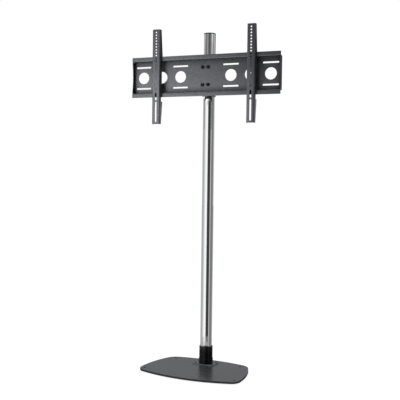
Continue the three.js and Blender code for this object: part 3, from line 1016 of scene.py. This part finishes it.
@dataclass(frozen=True)
class Pole:
    """The chromed pole with its cap and bolt. Its plug keeps its solid."""

    radius: float = 0.030
    wall: float = 0.002
    rounding: float = 0.0006
    cap_radius: float = 0.0306
    cap_rim: float = 0.004
    cap_rounding: float = 0.0012
    crown_drop_share: float = 0.2
    skirt_wall: float = 0.002
    bolt: Screw = Screw(shank_radius=0.006, shank=0.0183, head_radius=0.010, head_height=0.005,
                        key_radius=0.0046, key_depth=0.0028, head=Head.SOCKET, pitch=0.00175)

    def build(self, bench: Bench) -> None:
        """Builds the pole's pieces.

        Args:
            bench: Where the pieces are finished.
        """
        bench.fit(self.tube().set(over("sleeve")), "pole_tube")
        bench.fit(self.cap().set(over("sleeve")), "pole_cap")
        seat = heights("pole_bolt")[0] + self.bolt.head_height
        bolt = self.bolt.form().set(Toward.DOWN).set(over("sleeve", seat))
        bench.fit(bolt, "pole_bolt")

    def tube(self) -> Form:
        """The chromed tube.

        Returns:
            The closed form.
        """
        low, high = heights("pole_tube")
        bore = self.radius - self.wall
        return Form.turned([
            Corner(bore, low, self.rounding), Corner(self.radius, low, self.rounding),
            Corner(self.radius, high, self.rounding), Corner(bore, high, self.rounding),
        ], Steps.TUBE)

    def cap(self) -> Form:
        """The cap: a rim with a low crown and a skirt inside the pole.

        Returns:
            The closed form.
        """
        low, high = heights("pole_cap")
        seat = heights("pole_tube")[1] + SEAT_GAP
        skirt = self.radius - self.wall - SEAT_GAP
        inner = skirt - self.skirt_wall
        rim = seat + self.cap_rim
        crown = high - (high - rim) * self.crown_drop_share
        return Form.turned([
            Corner(0, seat), Corner(inner, seat), Corner(inner, low), Corner(skirt, low),
            Corner(skirt, seat), Corner(self.cap_radius, seat),
            Corner(self.cap_radius, rim, self.cap_rounding), Corner(self.cap_radius / 2, crown),
            Corner(0, high),
        ], Steps.TUBE)


@dataclass(frozen=True)
class Clamp:
    """The stop ring, and the sleeve that stands on it with its two lock bolts."""

    radius: float = 0.034
    rounding: float = 0.001
    ring_grub: Grub = Grub(radius=0.003, length=0.005, key_radius=0.0018, key_depth=0.0025,
                           chamfer=0.0004)
    bolt: Screw = Screw(shank_radius=0.005, shank=0.0152, head_radius=0.008, head_height=0.010,
                        key_radius=0.0046, key_depth=0.005, head=Head.SOCKET, pitch=0.0015)
    nut: Nut = Nut(radius=0.0098, bore=0.0053, height=0.012, crown=0.0008)

    def build(self, bench: Bench) -> None:
        """Builds the clamp's pieces.

        Args:
            bench: Where the pieces are finished.
        """
        ring = self.drilled("stop_ring", self.ring_grub.radius, ["stop_ring"])
        bench.fit(ring, "stop_ring")
        axis = middle("sleeve")
        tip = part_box("stop_ring_grub")[0].y
        grub = self.ring_grub.form().set(Toward.BACK)
        grub.moved((axis.x, tip, middle("stop_ring_grub").z))
        bench.fit(grub, "stop_ring_grub")
        nuts = ["lower_lock_nut", "upper_lock_nut"]
        sleeve = self.drilled("sleeve", self.bolt.shank_radius, nuts)
        bench.fit(sleeve, "sleeve")
        for name in ("upper_lock", "lower_lock"):
            self.lock(bench, name)

    def lock(self, bench: Bench, name: str) -> None:
        """Builds one lock bolt with its nut, which is hollowed to fit the sleeve.

        Args:
            bench: Where the pieces are finished.
            name: The start of the solids' names.
        """
        axis = middle("sleeve")
        height = middle(name + "_nut").z
        barrel = Form.rod(self.radius + SEAT_GAP, height - self.radius, height + self.radius,
                          Steps.TUBE).moved((axis.x, axis.y, 0))
        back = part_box(name + "_nut")[1].y
        blank = self.nut.form().set(Toward.BACK)
        blank.moved((axis.x, back - self.nut.height, height))
        bench.fit(blank.joined(barrel, Join.CUT), name + "_nut")
        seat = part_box(name + "_bolt")[1].y - self.bolt.head_height
        bolt = self.bolt.form().set(Toward.BACK).moved((axis.x, seat, height))
        bench.fit(bolt, name + "_bolt")

    def drilled(self, node: str, radius: float, beside: Sequence[str]) -> Form:
        """A tube in its place, with bores in its back.

        Args:
            node: The solid's name.
            radius: The radius of the screws that the bores are for.
            beside: The solids whose middles are as high as the bores.

        Returns:
            The closed form.
        """
        bores = [Form.drill(radius + SEAT_GAP, 0, self.radius + OVERRUN, (0, middle(other).z))
                 for other in beside]
        return self.tube(node).pierced(bores).set(over("sleeve"))

    def tube(self, node: str) -> Form:
        """A tube round the pole, as high as a solid.

        Args:
            node: The solid's name.

        Returns:
            The closed form.
        """
        low, high = heights(node)
        bore = Pole.radius + SEAT_GAP
        return Form.turned([
            Corner(bore, low, self.rounding / 2), Corner(self.radius, low, self.rounding),
            Corner(self.radius, high, self.rounding), Corner(bore, high, self.rounding / 2),
        ], Steps.TUBE)


@dataclass(frozen=True)
class Carrier:
    """The bracket on the sleeve, and the folded carrier plate that is screwed to it."""

    bracket_sheet: float = 0.005
    bracket_fold: float = 0.0075
    bracket_edge: float = 0.0006

    sheet: float = 0.0025
    outer_fold: float = 0.004
    inner_fold: float = 0.0015
    lip_depth: float = 0.025
    lip_height: float = 0.0222
    end_hollow: float = 0.0075
    end_slit: float = 0.001
    edge: float = 0.0004
    window_radius: float = 0.0296
    window_places: tuple[float, float, float] = (0.1347, 0.2366, 0.3395)
    slot_places: tuple[float, float] = (0.1347, 0.3395)
    slot_length: float = 0.0816
    slot_width: float = 0.0084
    slot_offset: float = 0.0542

    corners: tuple[str, ...] = ("upper_left", "upper_right", "lower_left", "lower_right")
    screw: Screw = Screw(shank_radius=0.005, shank=0.0203, head_radius=0.0092,
                         head_height=0.0056, key_radius=0.0035, key_depth=0.003,
                         head=Head.BUTTON, pitch=0.0015)
    nut: Nut = Nut(radius=0.0098, bore=0.0053, height=0.008, crown=0.0008)
    washer_radius: float = 0.010
    washer_rounding: float = 0.0003

    def build(self, bench: Bench) -> None:
        """Builds the bracket, the plate and its screws.

        Args:
            bench: Where the pieces are finished.
        """
        bench.fit(self.bracket(), "bracket", self.bracket_edge)
        bench.fit(self.plate(), "carrier_plate", self.edge)
        for corner in self.corners:
            self.fixing(bench, corner + "_plate")

    def screw_bores(self, near: float, far: float) -> list[Form]:
        """The bores for the plate screws, from one depth to another.

        Args:
            near: Their front ends.
            far: Their back ends.

        Returns:
            The bores as closed forms.
        """
        places = [middle(corner + "_plate_screw") for corner in self.corners]
        return [Form.drill(self.screw.shank_radius + SEAT_GAP, near, far, (place.x, place.z))
                for place in places]

    def bracket(self) -> Form:
        """The U-shaped bracket between sleeve and plate.

        Returns:
            The closed form.
        """
        low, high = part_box("bracket")
        line = [Corner(low.x, high.y), Corner(low.x, low.y, self.bracket_fold),
                Corner(high.x, low.y, self.bracket_fold), Corner(high.x, high.y)]
        blank = Form.folded(line, high.z - low.z, self.bracket_sheet).moved((0, 0, low.z))
        bores = self.screw_bores(low.y - OVERRUN, low.y + self.bracket_sheet + OVERRUN)
        return blank.pierced(bores)

    def plate_blank(self) -> Form:
        """The folded plate with its end flanges, before it is cut.

        Returns:
            The closed form.
        """
        low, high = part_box("carrier_plate")
        centre = (low.z + high.z) / 2
        half = (high.z - low.z) / 2
        recess = half - self.lip_height
        face = low.y + self.lip_depth
        line = [
            Corner(low.y, half), Corner(low.y, recess, self.outer_fold),
            Corner(face, recess, self.inner_fold), Corner(face, -recess, self.inner_fold),
            Corner(low.y, -recess, self.outer_fold), Corner(low.y, -half),
        ]
        form = Form.folded(line, high.x - low.x, self.sheet)
        form.set(Toward.RIGHT).moved((low.x, 0, centre))
        tall = recess - self.end_slit
        back = face + self.sheet / 2
        radius = (tall ** 2 + self.end_hollow ** 2) / (2 * self.end_hollow)
        for x in (low.x, high.x - self.sheet):
            flange = Form.prism([Corner(low.y, -tall), Corner(back, -tall), Corner(back, tall),
                                 Corner(low.y, tall)], self.sheet)
            hollow = Form.rod(radius, -OVERRUN, self.sheet + OVERRUN, Steps.TUBE)
            hollow.moved((low.y + self.end_hollow - radius, 0, 0))
            flange = flange.joined(hollow, Join.CUT).set(Toward.RIGHT).moved((x, 0, centre))
            form = form.joined(flange, Join.ADD)
        return form.flattened()

    def plate(self) -> Form:
        """The carrier plate with its screw bores, windows and slots.

        Returns:
            The closed form.
        """
        low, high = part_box("carrier_plate")
        centre = (low.z + high.z) / 2
        face = low.y + self.lip_depth
        near, far = face - OVERRUN, face + self.sheet + OVERRUN
        cutters = self.screw_bores(near, far)
        for side in (-1, 1):
            for x in self.window_places:
                cutters.append(Form.drill(self.window_radius, near, far, (side * x, centre),
                                          Steps.WINDOW))
            for x in self.slot_places:
                for offset in (-self.slot_offset, self.slot_offset):
                    slot = Form.slot(self.slot_length, self.slot_width, far - near)
                    cutters.append(slot.set(Toward.BACK).moved((side * x, near, centre + offset)))
        return self.plate_blank().pierced(cutters)

    def fixing(self, bench: Bench, name: str) -> None:
        """Builds one plate screw with its washer and nut.

        Args:
            bench: Where the pieces are finished.
            name: The start of the solids' names.
        """
        place = middle(name + "_screw")
        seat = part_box(name + "_screw")[0].y + self.screw.head_height
        screw = self.screw.form().set(Toward.FRONT).moved((place.x, seat, place.z))
        bench.fit(screw, name + "_screw")
        front, back = (corner.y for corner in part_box(name + "_washer"))
        washer = Form.turned([
            Corner(self.nut.bore, 0), Corner(self.washer_radius, 0, self.washer_rounding),
            Corner(self.washer_radius, back - front, self.washer_rounding),
            Corner(self.nut.bore, back - front),
        ])
        bench.fit(washer.set(Toward.BACK).moved((place.x, front, place.z)), name + "_washer")
        nut = self.nut.form().set(Toward.BACK)
        nut.moved((place.x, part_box(name + "_nut")[0].y, place.z))
        bench.fit(nut, name + "_nut")


@dataclass(frozen=True)
class Arm:
    """One hooked arm with its strip and lock screw."""

    side: str
    sheet: float = 0.0025
    fold: float = 0.00525
    edge: float = 0.0004
    stand_off: float = 0.022
    lip_clearance: float = 0.0005
    top_depth: float = 0.0205
    hook_depth: float = 0.0374
    web_clearance: float = 0.0012
    lift: float = 0.022
    middle_depth: float = 0.0285
    catch_depth: float = 0.0374
    bottom_depth: float = 0.021
    hole_radius: float = 0.0041
    hole_pitch: float = 0.0146
    hole_count: int = 14
    first_hole: float = 0.015
    slot_width: float = 0.009
    long_slot: float = 0.1035
    long_slot_foot: float = 0.010
    slot_web: float = 0.008
    short_slot: float = 0.0385
    low_hole_foot: float = 0.179
    small_hole_radius: float = 0.0022
    small_hole_foot: float = 0.241
    lock: Screw = Screw(shank_radius=0.003, shank=0.0171, head_radius=0.0055, head_height=0.006,
                        key_radius=0.0029, key_depth=0.0035, head=Head.SOCKET, pitch=0.001)

    def build(self, bench: Bench) -> None:
        """Builds the arm's pieces.

        Args:
            bench: Where the pieces are finished.
        """
        bench.fit(self.channel(), self.side + "_arm_channel", self.edge)
        bench.fit(self.strip(), self.side + "_hook_strip", self.edge)
        node = self.side + "_arm_lock"
        place = middle(node)
        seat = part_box(node)[1].y - self.lock.head_height
        bench.fit(self.lock.form().set(Toward.BACK).moved((place.x, seat, place.z)), node)

    def side_view(self) -> Form:
        """The arm's outline seen from its side, as a block as wide as the channel.

        Returns:
            The closed form.
        """
        low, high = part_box(self.side + "_arm_channel")
        plate_low, plate_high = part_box("carrier_plate")
        web_high = plate_high.z - Carrier.lip_height
        web_low = plate_low.z + Carrier.lip_height
        finger = web_high + Carrier.sheet + self.web_clearance
        over_lip = plate_high.z + SEAT_GAP
        lip_front = self.stand_off - self.lip_clearance
        lip_back = self.stand_off + Carrier.sheet + self.lip_clearance
        catch = plate_low.z - self.lift
        middle_top = web_high - self.lift
        middle_low = web_low + self.web_clearance
        outline = [
            Corner(-OVERRUN, low.z), Corner(self.bottom_depth, low.z),
            Corner(self.catch_depth, catch), Corner(lip_front, catch),
            Corner(lip_front, middle_low), Corner(self.middle_depth, middle_low),
            Corner(self.middle_depth, middle_top), Corner(lip_front, middle_top),
            Corner(lip_front, over_lip), Corner(lip_back, over_lip), Corner(lip_back, finger),
            Corner(self.hook_depth, finger), Corner(self.hook_depth, over_lip),
            Corner(self.top_depth, high.z), Corner(-OVERRUN, high.z),
        ]
        block = Form.prism(outline, high.x - low.x + 2 * OVERRUN)
        return block.set(Toward.RIGHT).moved((low.x - OVERRUN, low.y, 0))

    def channel(self) -> Form:
        """The folded channel with its hook, holes and slots.

        Returns:
            The closed form.
        """
        low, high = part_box(self.side + "_arm_channel")
        back = high.y + OVERRUN
        line = [Corner(low.x, back), Corner(low.x, low.y, self.fold),
                Corner(high.x, low.y, self.fold), Corner(high.x, back)]
        form = Form.folded(line, high.z - low.z, self.sheet).moved((0, 0, low.z))
        form = form.joined(self.side_view(), Join.SHARE)
        near, far = low.y - OVERRUN, low.y + self.sheet + OVERRUN
        x = (low.x + high.x) / 2
        holes = [(self.hole_radius, high.z - self.first_hole - number * self.hole_pitch)
                 for number in range(self.hole_count)]
        holes += [(self.hole_radius, low.z + self.low_hole_foot),
                  (self.small_hole_radius, low.z + self.small_hole_foot)]
        cutters = [Form.drill(radius, near, far, (x, height)) for radius, height in holes]
        foot = low.z + self.long_slot_foot
        for length in (self.long_slot, self.short_slot):
            slot = Form.slot(length, self.slot_width, far - near)
            slot.set(Matrix.Rotation(math.pi / 2, 4, "Z")).set(Toward.BACK)
            cutters.append(slot.moved((x, near, foot + length / 2)))
            foot += length + self.slot_web
        return form.pierced(cutters)

    def strip(self) -> Form:
        """The strip between the channel's hooks.

        Returns:
            The closed form.
        """
        low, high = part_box(self.side + "_hook_strip")
        bar = Form.prism([Corner(low.x, low.y), Corner(high.x, low.y), Corner(high.x, high.y),
                          Corner(low.x, high.y)], high.z - low.z).moved((0, 0, low.z))
        place = middle(self.side + "_arm_lock")
        bore = Form.drill(self.lock.shank_radius + SEAT_GAP, low.y - OVERRUN, high.y + OVERRUN,
                          (place.x, place.z))
        return bar.joined(bore, Join.CUT)


@dataclass(frozen=True)
class Band:
    """Upright curved cards that only show in reflections, as a studio's flags and panels do.

    Attributes:
        name: What the cards' names start with.
        bottom: Their lower edge.
        top: Their upper edge.
        cards: Where each card starts and ends, in degrees from the camera, rightwards, and how
            bright it looks.
        radius: How far they stand from the pole.
        lies_from: Where their foot, lying on the floor, starts, if they have one.
    """

    name: str
    bottom: float
    top: float
    cards: tuple[tuple[float, float, float], ...]
    radius: float
    lies_from: float | None = None


@dataclass(frozen=True)
class Studio:
    """The floor, the background, the lamps and the camera, around the pole."""

    pole: Vector = field(default_factory=lambda: middle("sleeve"))
    distance: float = 3.5867
    azimuth: float = math.radians(19.545)
    height: float = 0.9928
    pitch: float = math.radians(-2.0696)
    roll: float = math.radians(0.6902)
    yaw: float = math.radians(0.6415)
    lens: float = 62.647
    sensor: float = 36.0

    floor_size: float = 60.0
    floor_glow: float = 0.81
    floor_colour: Colour = (0.45, 0.45, 0.45, 1)
    fill_level: float = 0.1
    key_place: tuple[float, float, float] = (-53, 1.15, 1.55)
    key_aim: float = 1.4
    key_size: float = 0.6
    key_power: float = 9.4
    above_power: float = 1.1
    above_angle: float = math.radians(60)

    shade_radius: float = 0.382
    shade_level: float = 0.03
    ring_split: float = 0.45
    low_reach: float = 0.56
    near: float = 0.9
    far: float = 1.2
    card_foot: float = 0.002
    rear_split: float = 0.8
    split: float = 1.475
    cuff_top: float = 1.505
    apron_top: float = 1.57
    middle_top: float = 1.62
    upper_top: float = 1.82
    ceiling: float = 4.0

    def bands(self) -> tuple[Band, ...]:
        """Every band of cards.

        Returns:
            The bands.
        """
        return (
            Band("low_card", self.card_foot, self.split, (
                (-145, -83, 0.5), (-83, -60, 0.75), (-60, -14, 1.12), (-14, 41, 0.055),
                (41, 58, 0.62), (58, 115, 0.23),
            ), self.near, self.low_reach),
            Band("rear_low_card", self.card_foot, self.rear_split, (
                (115, 145, 0.4), (145, 215, 0.36),
            ), self.near, self.low_reach),
            Band("rear_card", self.rear_split, self.split, ((115, 215, 0.65),), self.near),
            Band("cuff_card", self.split, self.cuff_top, (
                (-145, -83, 0.5), (-83, -60, 0.75), (-60, -33, 1.12), (-33, -20, 0.7),
                (-20, -5, 0.3), (-5, 41, 0.055), (41, 58, 0.62), (58, 115, 0.23),
                (115, 215, 0.65),
            ), self.near),
            Band("apron_card", self.split, self.apron_top, (
                (-145, -50, 1.9), (-50, -33, 1.7), (-33, -20, 1.15), (-20, 0, 0.75),
                (0, 115, 0.25),
            ), self.far),
            Band("middle_card", self.apron_top, self.middle_top, (
                (-145, -50, 1.0), (-50, -33, 0.85), (-33, -20, 0.85), (-20, 0, 0.65),
                (0, 115, 0.2),
            ), self.far),
            Band("upper_card", self.middle_top, self.upper_top, (
                (-145, -50, 0.2), (-50, -33, 0.25), (-33, -20, 0.1), (-20, 0, 0.05),
                (0, 115, 0.06),
            ), self.far),
            Band("high_card", self.upper_top, self.ceiling, (
                (-150, -99, 0.55), (-99, -72, 0.36), (-72, -49, 0.15), (-49, -28, 0.42),
                (-28, -9, 0.12), (-9, 10, 0.11), (10, 31, 0.19), (31, 46, 0.48),
                (46, 68, 0.8), (68, 92, 0.22), (92, 118, 0.62),
            ), self.far),
            Band("outer_floor_card", self.card_foot, self.card_foot, (
                (-145, -60, 0.5), (-60, -14, 0.92), (-14, 41, 0.24), (41, 58, 0.55),
                (58, 115, 0.22), (115, 215, 0.34),
            ), self.low_reach, self.ring_split),
            Band("inner_floor_card", self.card_foot, self.card_foot, (
                (-145, -60, 0.48), (-60, -14, 0.75), (-14, 41, 0.38), (41, 58, 0.46),
                (58, 115, 0.22), (115, 215, 0.3),
            ), self.ring_split, self.shade_radius),
            Band("flange_card", self.cuff_top, self.upper_top, ((115, 190, 0.05),), self.far),
            Band("high_flange_card", self.upper_top, self.ceiling, ((118, 190, 0.05),),
                 self.far),
        )

    def build(self) -> None:
        """Sets up the whole studio."""
        self.floor()
        self.world()
        for band in self.bands():
            for card in band.cards:
                self.card(band, *card)
        self.shade()
        self.lamps()
        self.camera()
        bpy.context.scene.view_settings.view_transform = "Standard"

    def floor(self) -> None:
        """A pale floor that keeps the stand's shadow and looks as white as the background."""
        form = Form()
        bmesh.ops.create_grid(form.mesh, x_segments=1, y_segments=1, size=self.floor_size / 2)
        floor = linked("floor", form.as_mesh("floor"))
        material = bpy.data.materials.new("pale_floor")
        nodes = NodeTree(material)
        paint = nodes.add("BsdfDiffuse", Color=self.floor_colour)
        glow = nodes.add("Emission", Strength=self.floor_glow)
        both = nodes.add("AddShader")
        nodes.wire(paint.outputs["BSDF"], both.inputs[0])
        nodes.wire(glow.outputs["Emission"], both.inputs[1])
        self.split_light(nodes, "OutputMaterial", paint.outputs["BSDF"], both.outputs["Shader"])
        floor.data.materials.append(material)

    def split_light(self, nodes: NodeTree, output: str, lights: bpy.types.NodeSocket,
                    shows: bpy.types.NodeSocket) -> None:
        """Lets the camera see one shader, also mirrored or through glass, and other light another.

        Args:
            nodes: The nodes that it joins.
            output: The output node's type.
            lights: The shader that all other light meets.
            shows: The shader that the camera sees.
        """
        path = nodes.add("LightPath")
        mirrored = nodes.add("Math", operation="MAXIMUM")
        any_of = nodes.add("Math", operation="MAXIMUM")
        picked = nodes.add("MixShader")
        surface = nodes.add(output).inputs["Surface"]
        nodes.wire(path.outputs["Is Glossy Ray"], mirrored.inputs[0])
        nodes.wire(path.outputs["Is Transmission Ray"], mirrored.inputs[1])
        nodes.wire(mirrored.outputs[0], any_of.inputs[0])
        nodes.wire(path.outputs["Is Camera Ray"], any_of.inputs[1])
        nodes.wire(any_of.outputs[0], picked.inputs["Fac"])
        nodes.wire(lights, picked.inputs[1])
        nodes.wire(shows, picked.inputs[2])
        nodes.wire(picked.outputs["Shader"], surface)

    def world(self) -> None:
        """A white background over an even grey light."""
        world = bpy.data.worlds.new("studio")
        bpy.context.scene.world = world
        nodes = NodeTree(world)
        light = nodes.add("Background", Color=WHITE, Strength=self.fill_level)
        white = nodes.add("Background", Color=WHITE, Strength=1.0)
        self.split_light(nodes, "OutputWorld", light.outputs["Background"],
                         white.outputs["Background"])

    def around(self, degrees: float, radius: float, height: float) -> Vector:
        """A point around the pole.

        Args:
            degrees: Its direction from the camera's, rightwards as the camera sees it.
            radius: Its distance from the pole.
            height: Its height.

        Returns:
            The point.
        """
        angle = self.azimuth + math.radians(degrees)
        return Vector((self.pole.x + radius * math.sin(angle),
                       self.pole.y - radius * math.cos(angle), height))

    def card(self, band: Band, start: float, end: float, level: float) -> None:
        """Stands one card of a band up.

        Args:
            band: The band.
            start: Where the card starts, in degrees.
            end: Where it ends.
            level: How bright it looks.
        """
        form = Form()
        bm = form.mesh
        profile = [(band.radius, band.bottom)]
        if band.lies_from is not None:
            profile.insert(0, (band.lies_from, band.bottom))
        if band.top > band.bottom:
            profile.append((band.radius, band.top))
        points = [bm.verts.new(self.around(start, *place)) for place in profile]
        edges = [bm.edges.new(pair) for pair in zip(points, points[1:])]
        bmesh.ops.spin(bm, geom=[*points, *edges], cent=(self.pole.x, self.pole.y, 0), axis=UP,
                       angle=math.radians(end - start), steps=Steps.CORNER.value)
        self.hang(form, f"{band.name}_{start}", level)

    def shade(self) -> None:
        """Lays a dark round card under the foot plate."""
        form = Form()
        bmesh.ops.create_circle(form.mesh, cap_ends=True, segments=Steps.SCREW.value,
                                radius=self.shade_radius)
        form.moved((self.pole.x, self.pole.y, self.card_foot / 2))
        self.hang(form, "shade_card", self.shade_level)

    def hang(self, form: Form, name: str, level: float) -> None:
        """Puts a card up so that only shiny surfaces see it.

        Args:
            form: The card's shape.
            name: Its name.
            level: How bright it looks.
        """
        panel = linked(name, form.as_mesh(name))
        material = bpy.data.materials.new(name)
        nodes = NodeTree(material)
        glow = nodes.add("Emission", Strength=level)
        output = nodes.add("OutputMaterial")
        nodes.wire(glow.outputs["Emission"], output.inputs["Surface"])
        panel.data.materials.append(material)
        panel.visible_camera = False
        panel.visible_diffuse = False
        panel.visible_shadow = False
        panel.visible_transmission = False

    def lamps(self) -> None:
        """A soft lamp at the left and a wide even light from above."""
        key = bpy.data.lights.new("key_lamp", "AREA")
        key.shape = "SQUARE"
        key.size = self.key_size
        key.energy = self.key_power
        place = self.around(*self.key_place)
        target = Vector((self.pole.x, self.pole.y, self.key_aim))
        self.lamp(key, place, (target - place).to_track_quat("-Z", "Y").to_euler())
        above = bpy.data.lights.new("ceiling_light", "SUN")
        above.energy = self.above_power
        above.angle = self.above_angle
        self.lamp(above, self.around(0, 0, self.ceiling), Euler())

    def lamp(self, light: bpy.types.Light, place: Vector, turn: Euler) -> None:
        """Hangs a light that casts no highlights, which are the cards' work.

        Args:
            light: The light.
            place: Where it hangs.
            turn: Where it points.
        """
        lamp = linked(light.name, light)
        lamp.location = place
        lamp.rotation_euler = turn
        lamp.visible_glossy = False
        lamp.visible_camera = False

    def camera(self) -> None:
        """The camera at the photograph's place and angle."""
        data = bpy.data.cameras.new("camera")
        data.lens = self.lens
        data.sensor_width = self.sensor
        data.clip_end = 2 * self.floor_size
        camera = linked("camera", data)
        place = self.around(0, self.distance, self.height)
        heading = math.atan2(self.pole.y - place.y, self.pole.x - place.x) + self.yaw
        forward = Vector((math.cos(heading) * math.cos(self.pitch),
                          math.sin(heading) * math.cos(self.pitch), math.sin(self.pitch)))
        level_right = forward.cross(UP).normalized()
        level_up = level_right.cross(forward)
        right = level_right * math.cos(self.roll) + level_up * math.sin(self.roll)
        upward = level_up * math.cos(self.roll) - level_right * math.sin(self.roll)
        turn = Matrix((right, upward, -forward)).transposed().to_4x4()
        camera.matrix_world = Matrix.Translation(place) @ turn
        bpy.context.scene.camera = camera


def main() -> None:
    """Builds the stand and its studio."""
    logging.basicConfig(level=logging.INFO, format="%(message)s")
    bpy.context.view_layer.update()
    bench = Bench()
    for part in (Foot(), Pole(), Clamp(), Carrier(), Arm("left"), Arm("right")):
        part.build(bench)
    Studio().build()


if __name__ == "__main__":
    main()
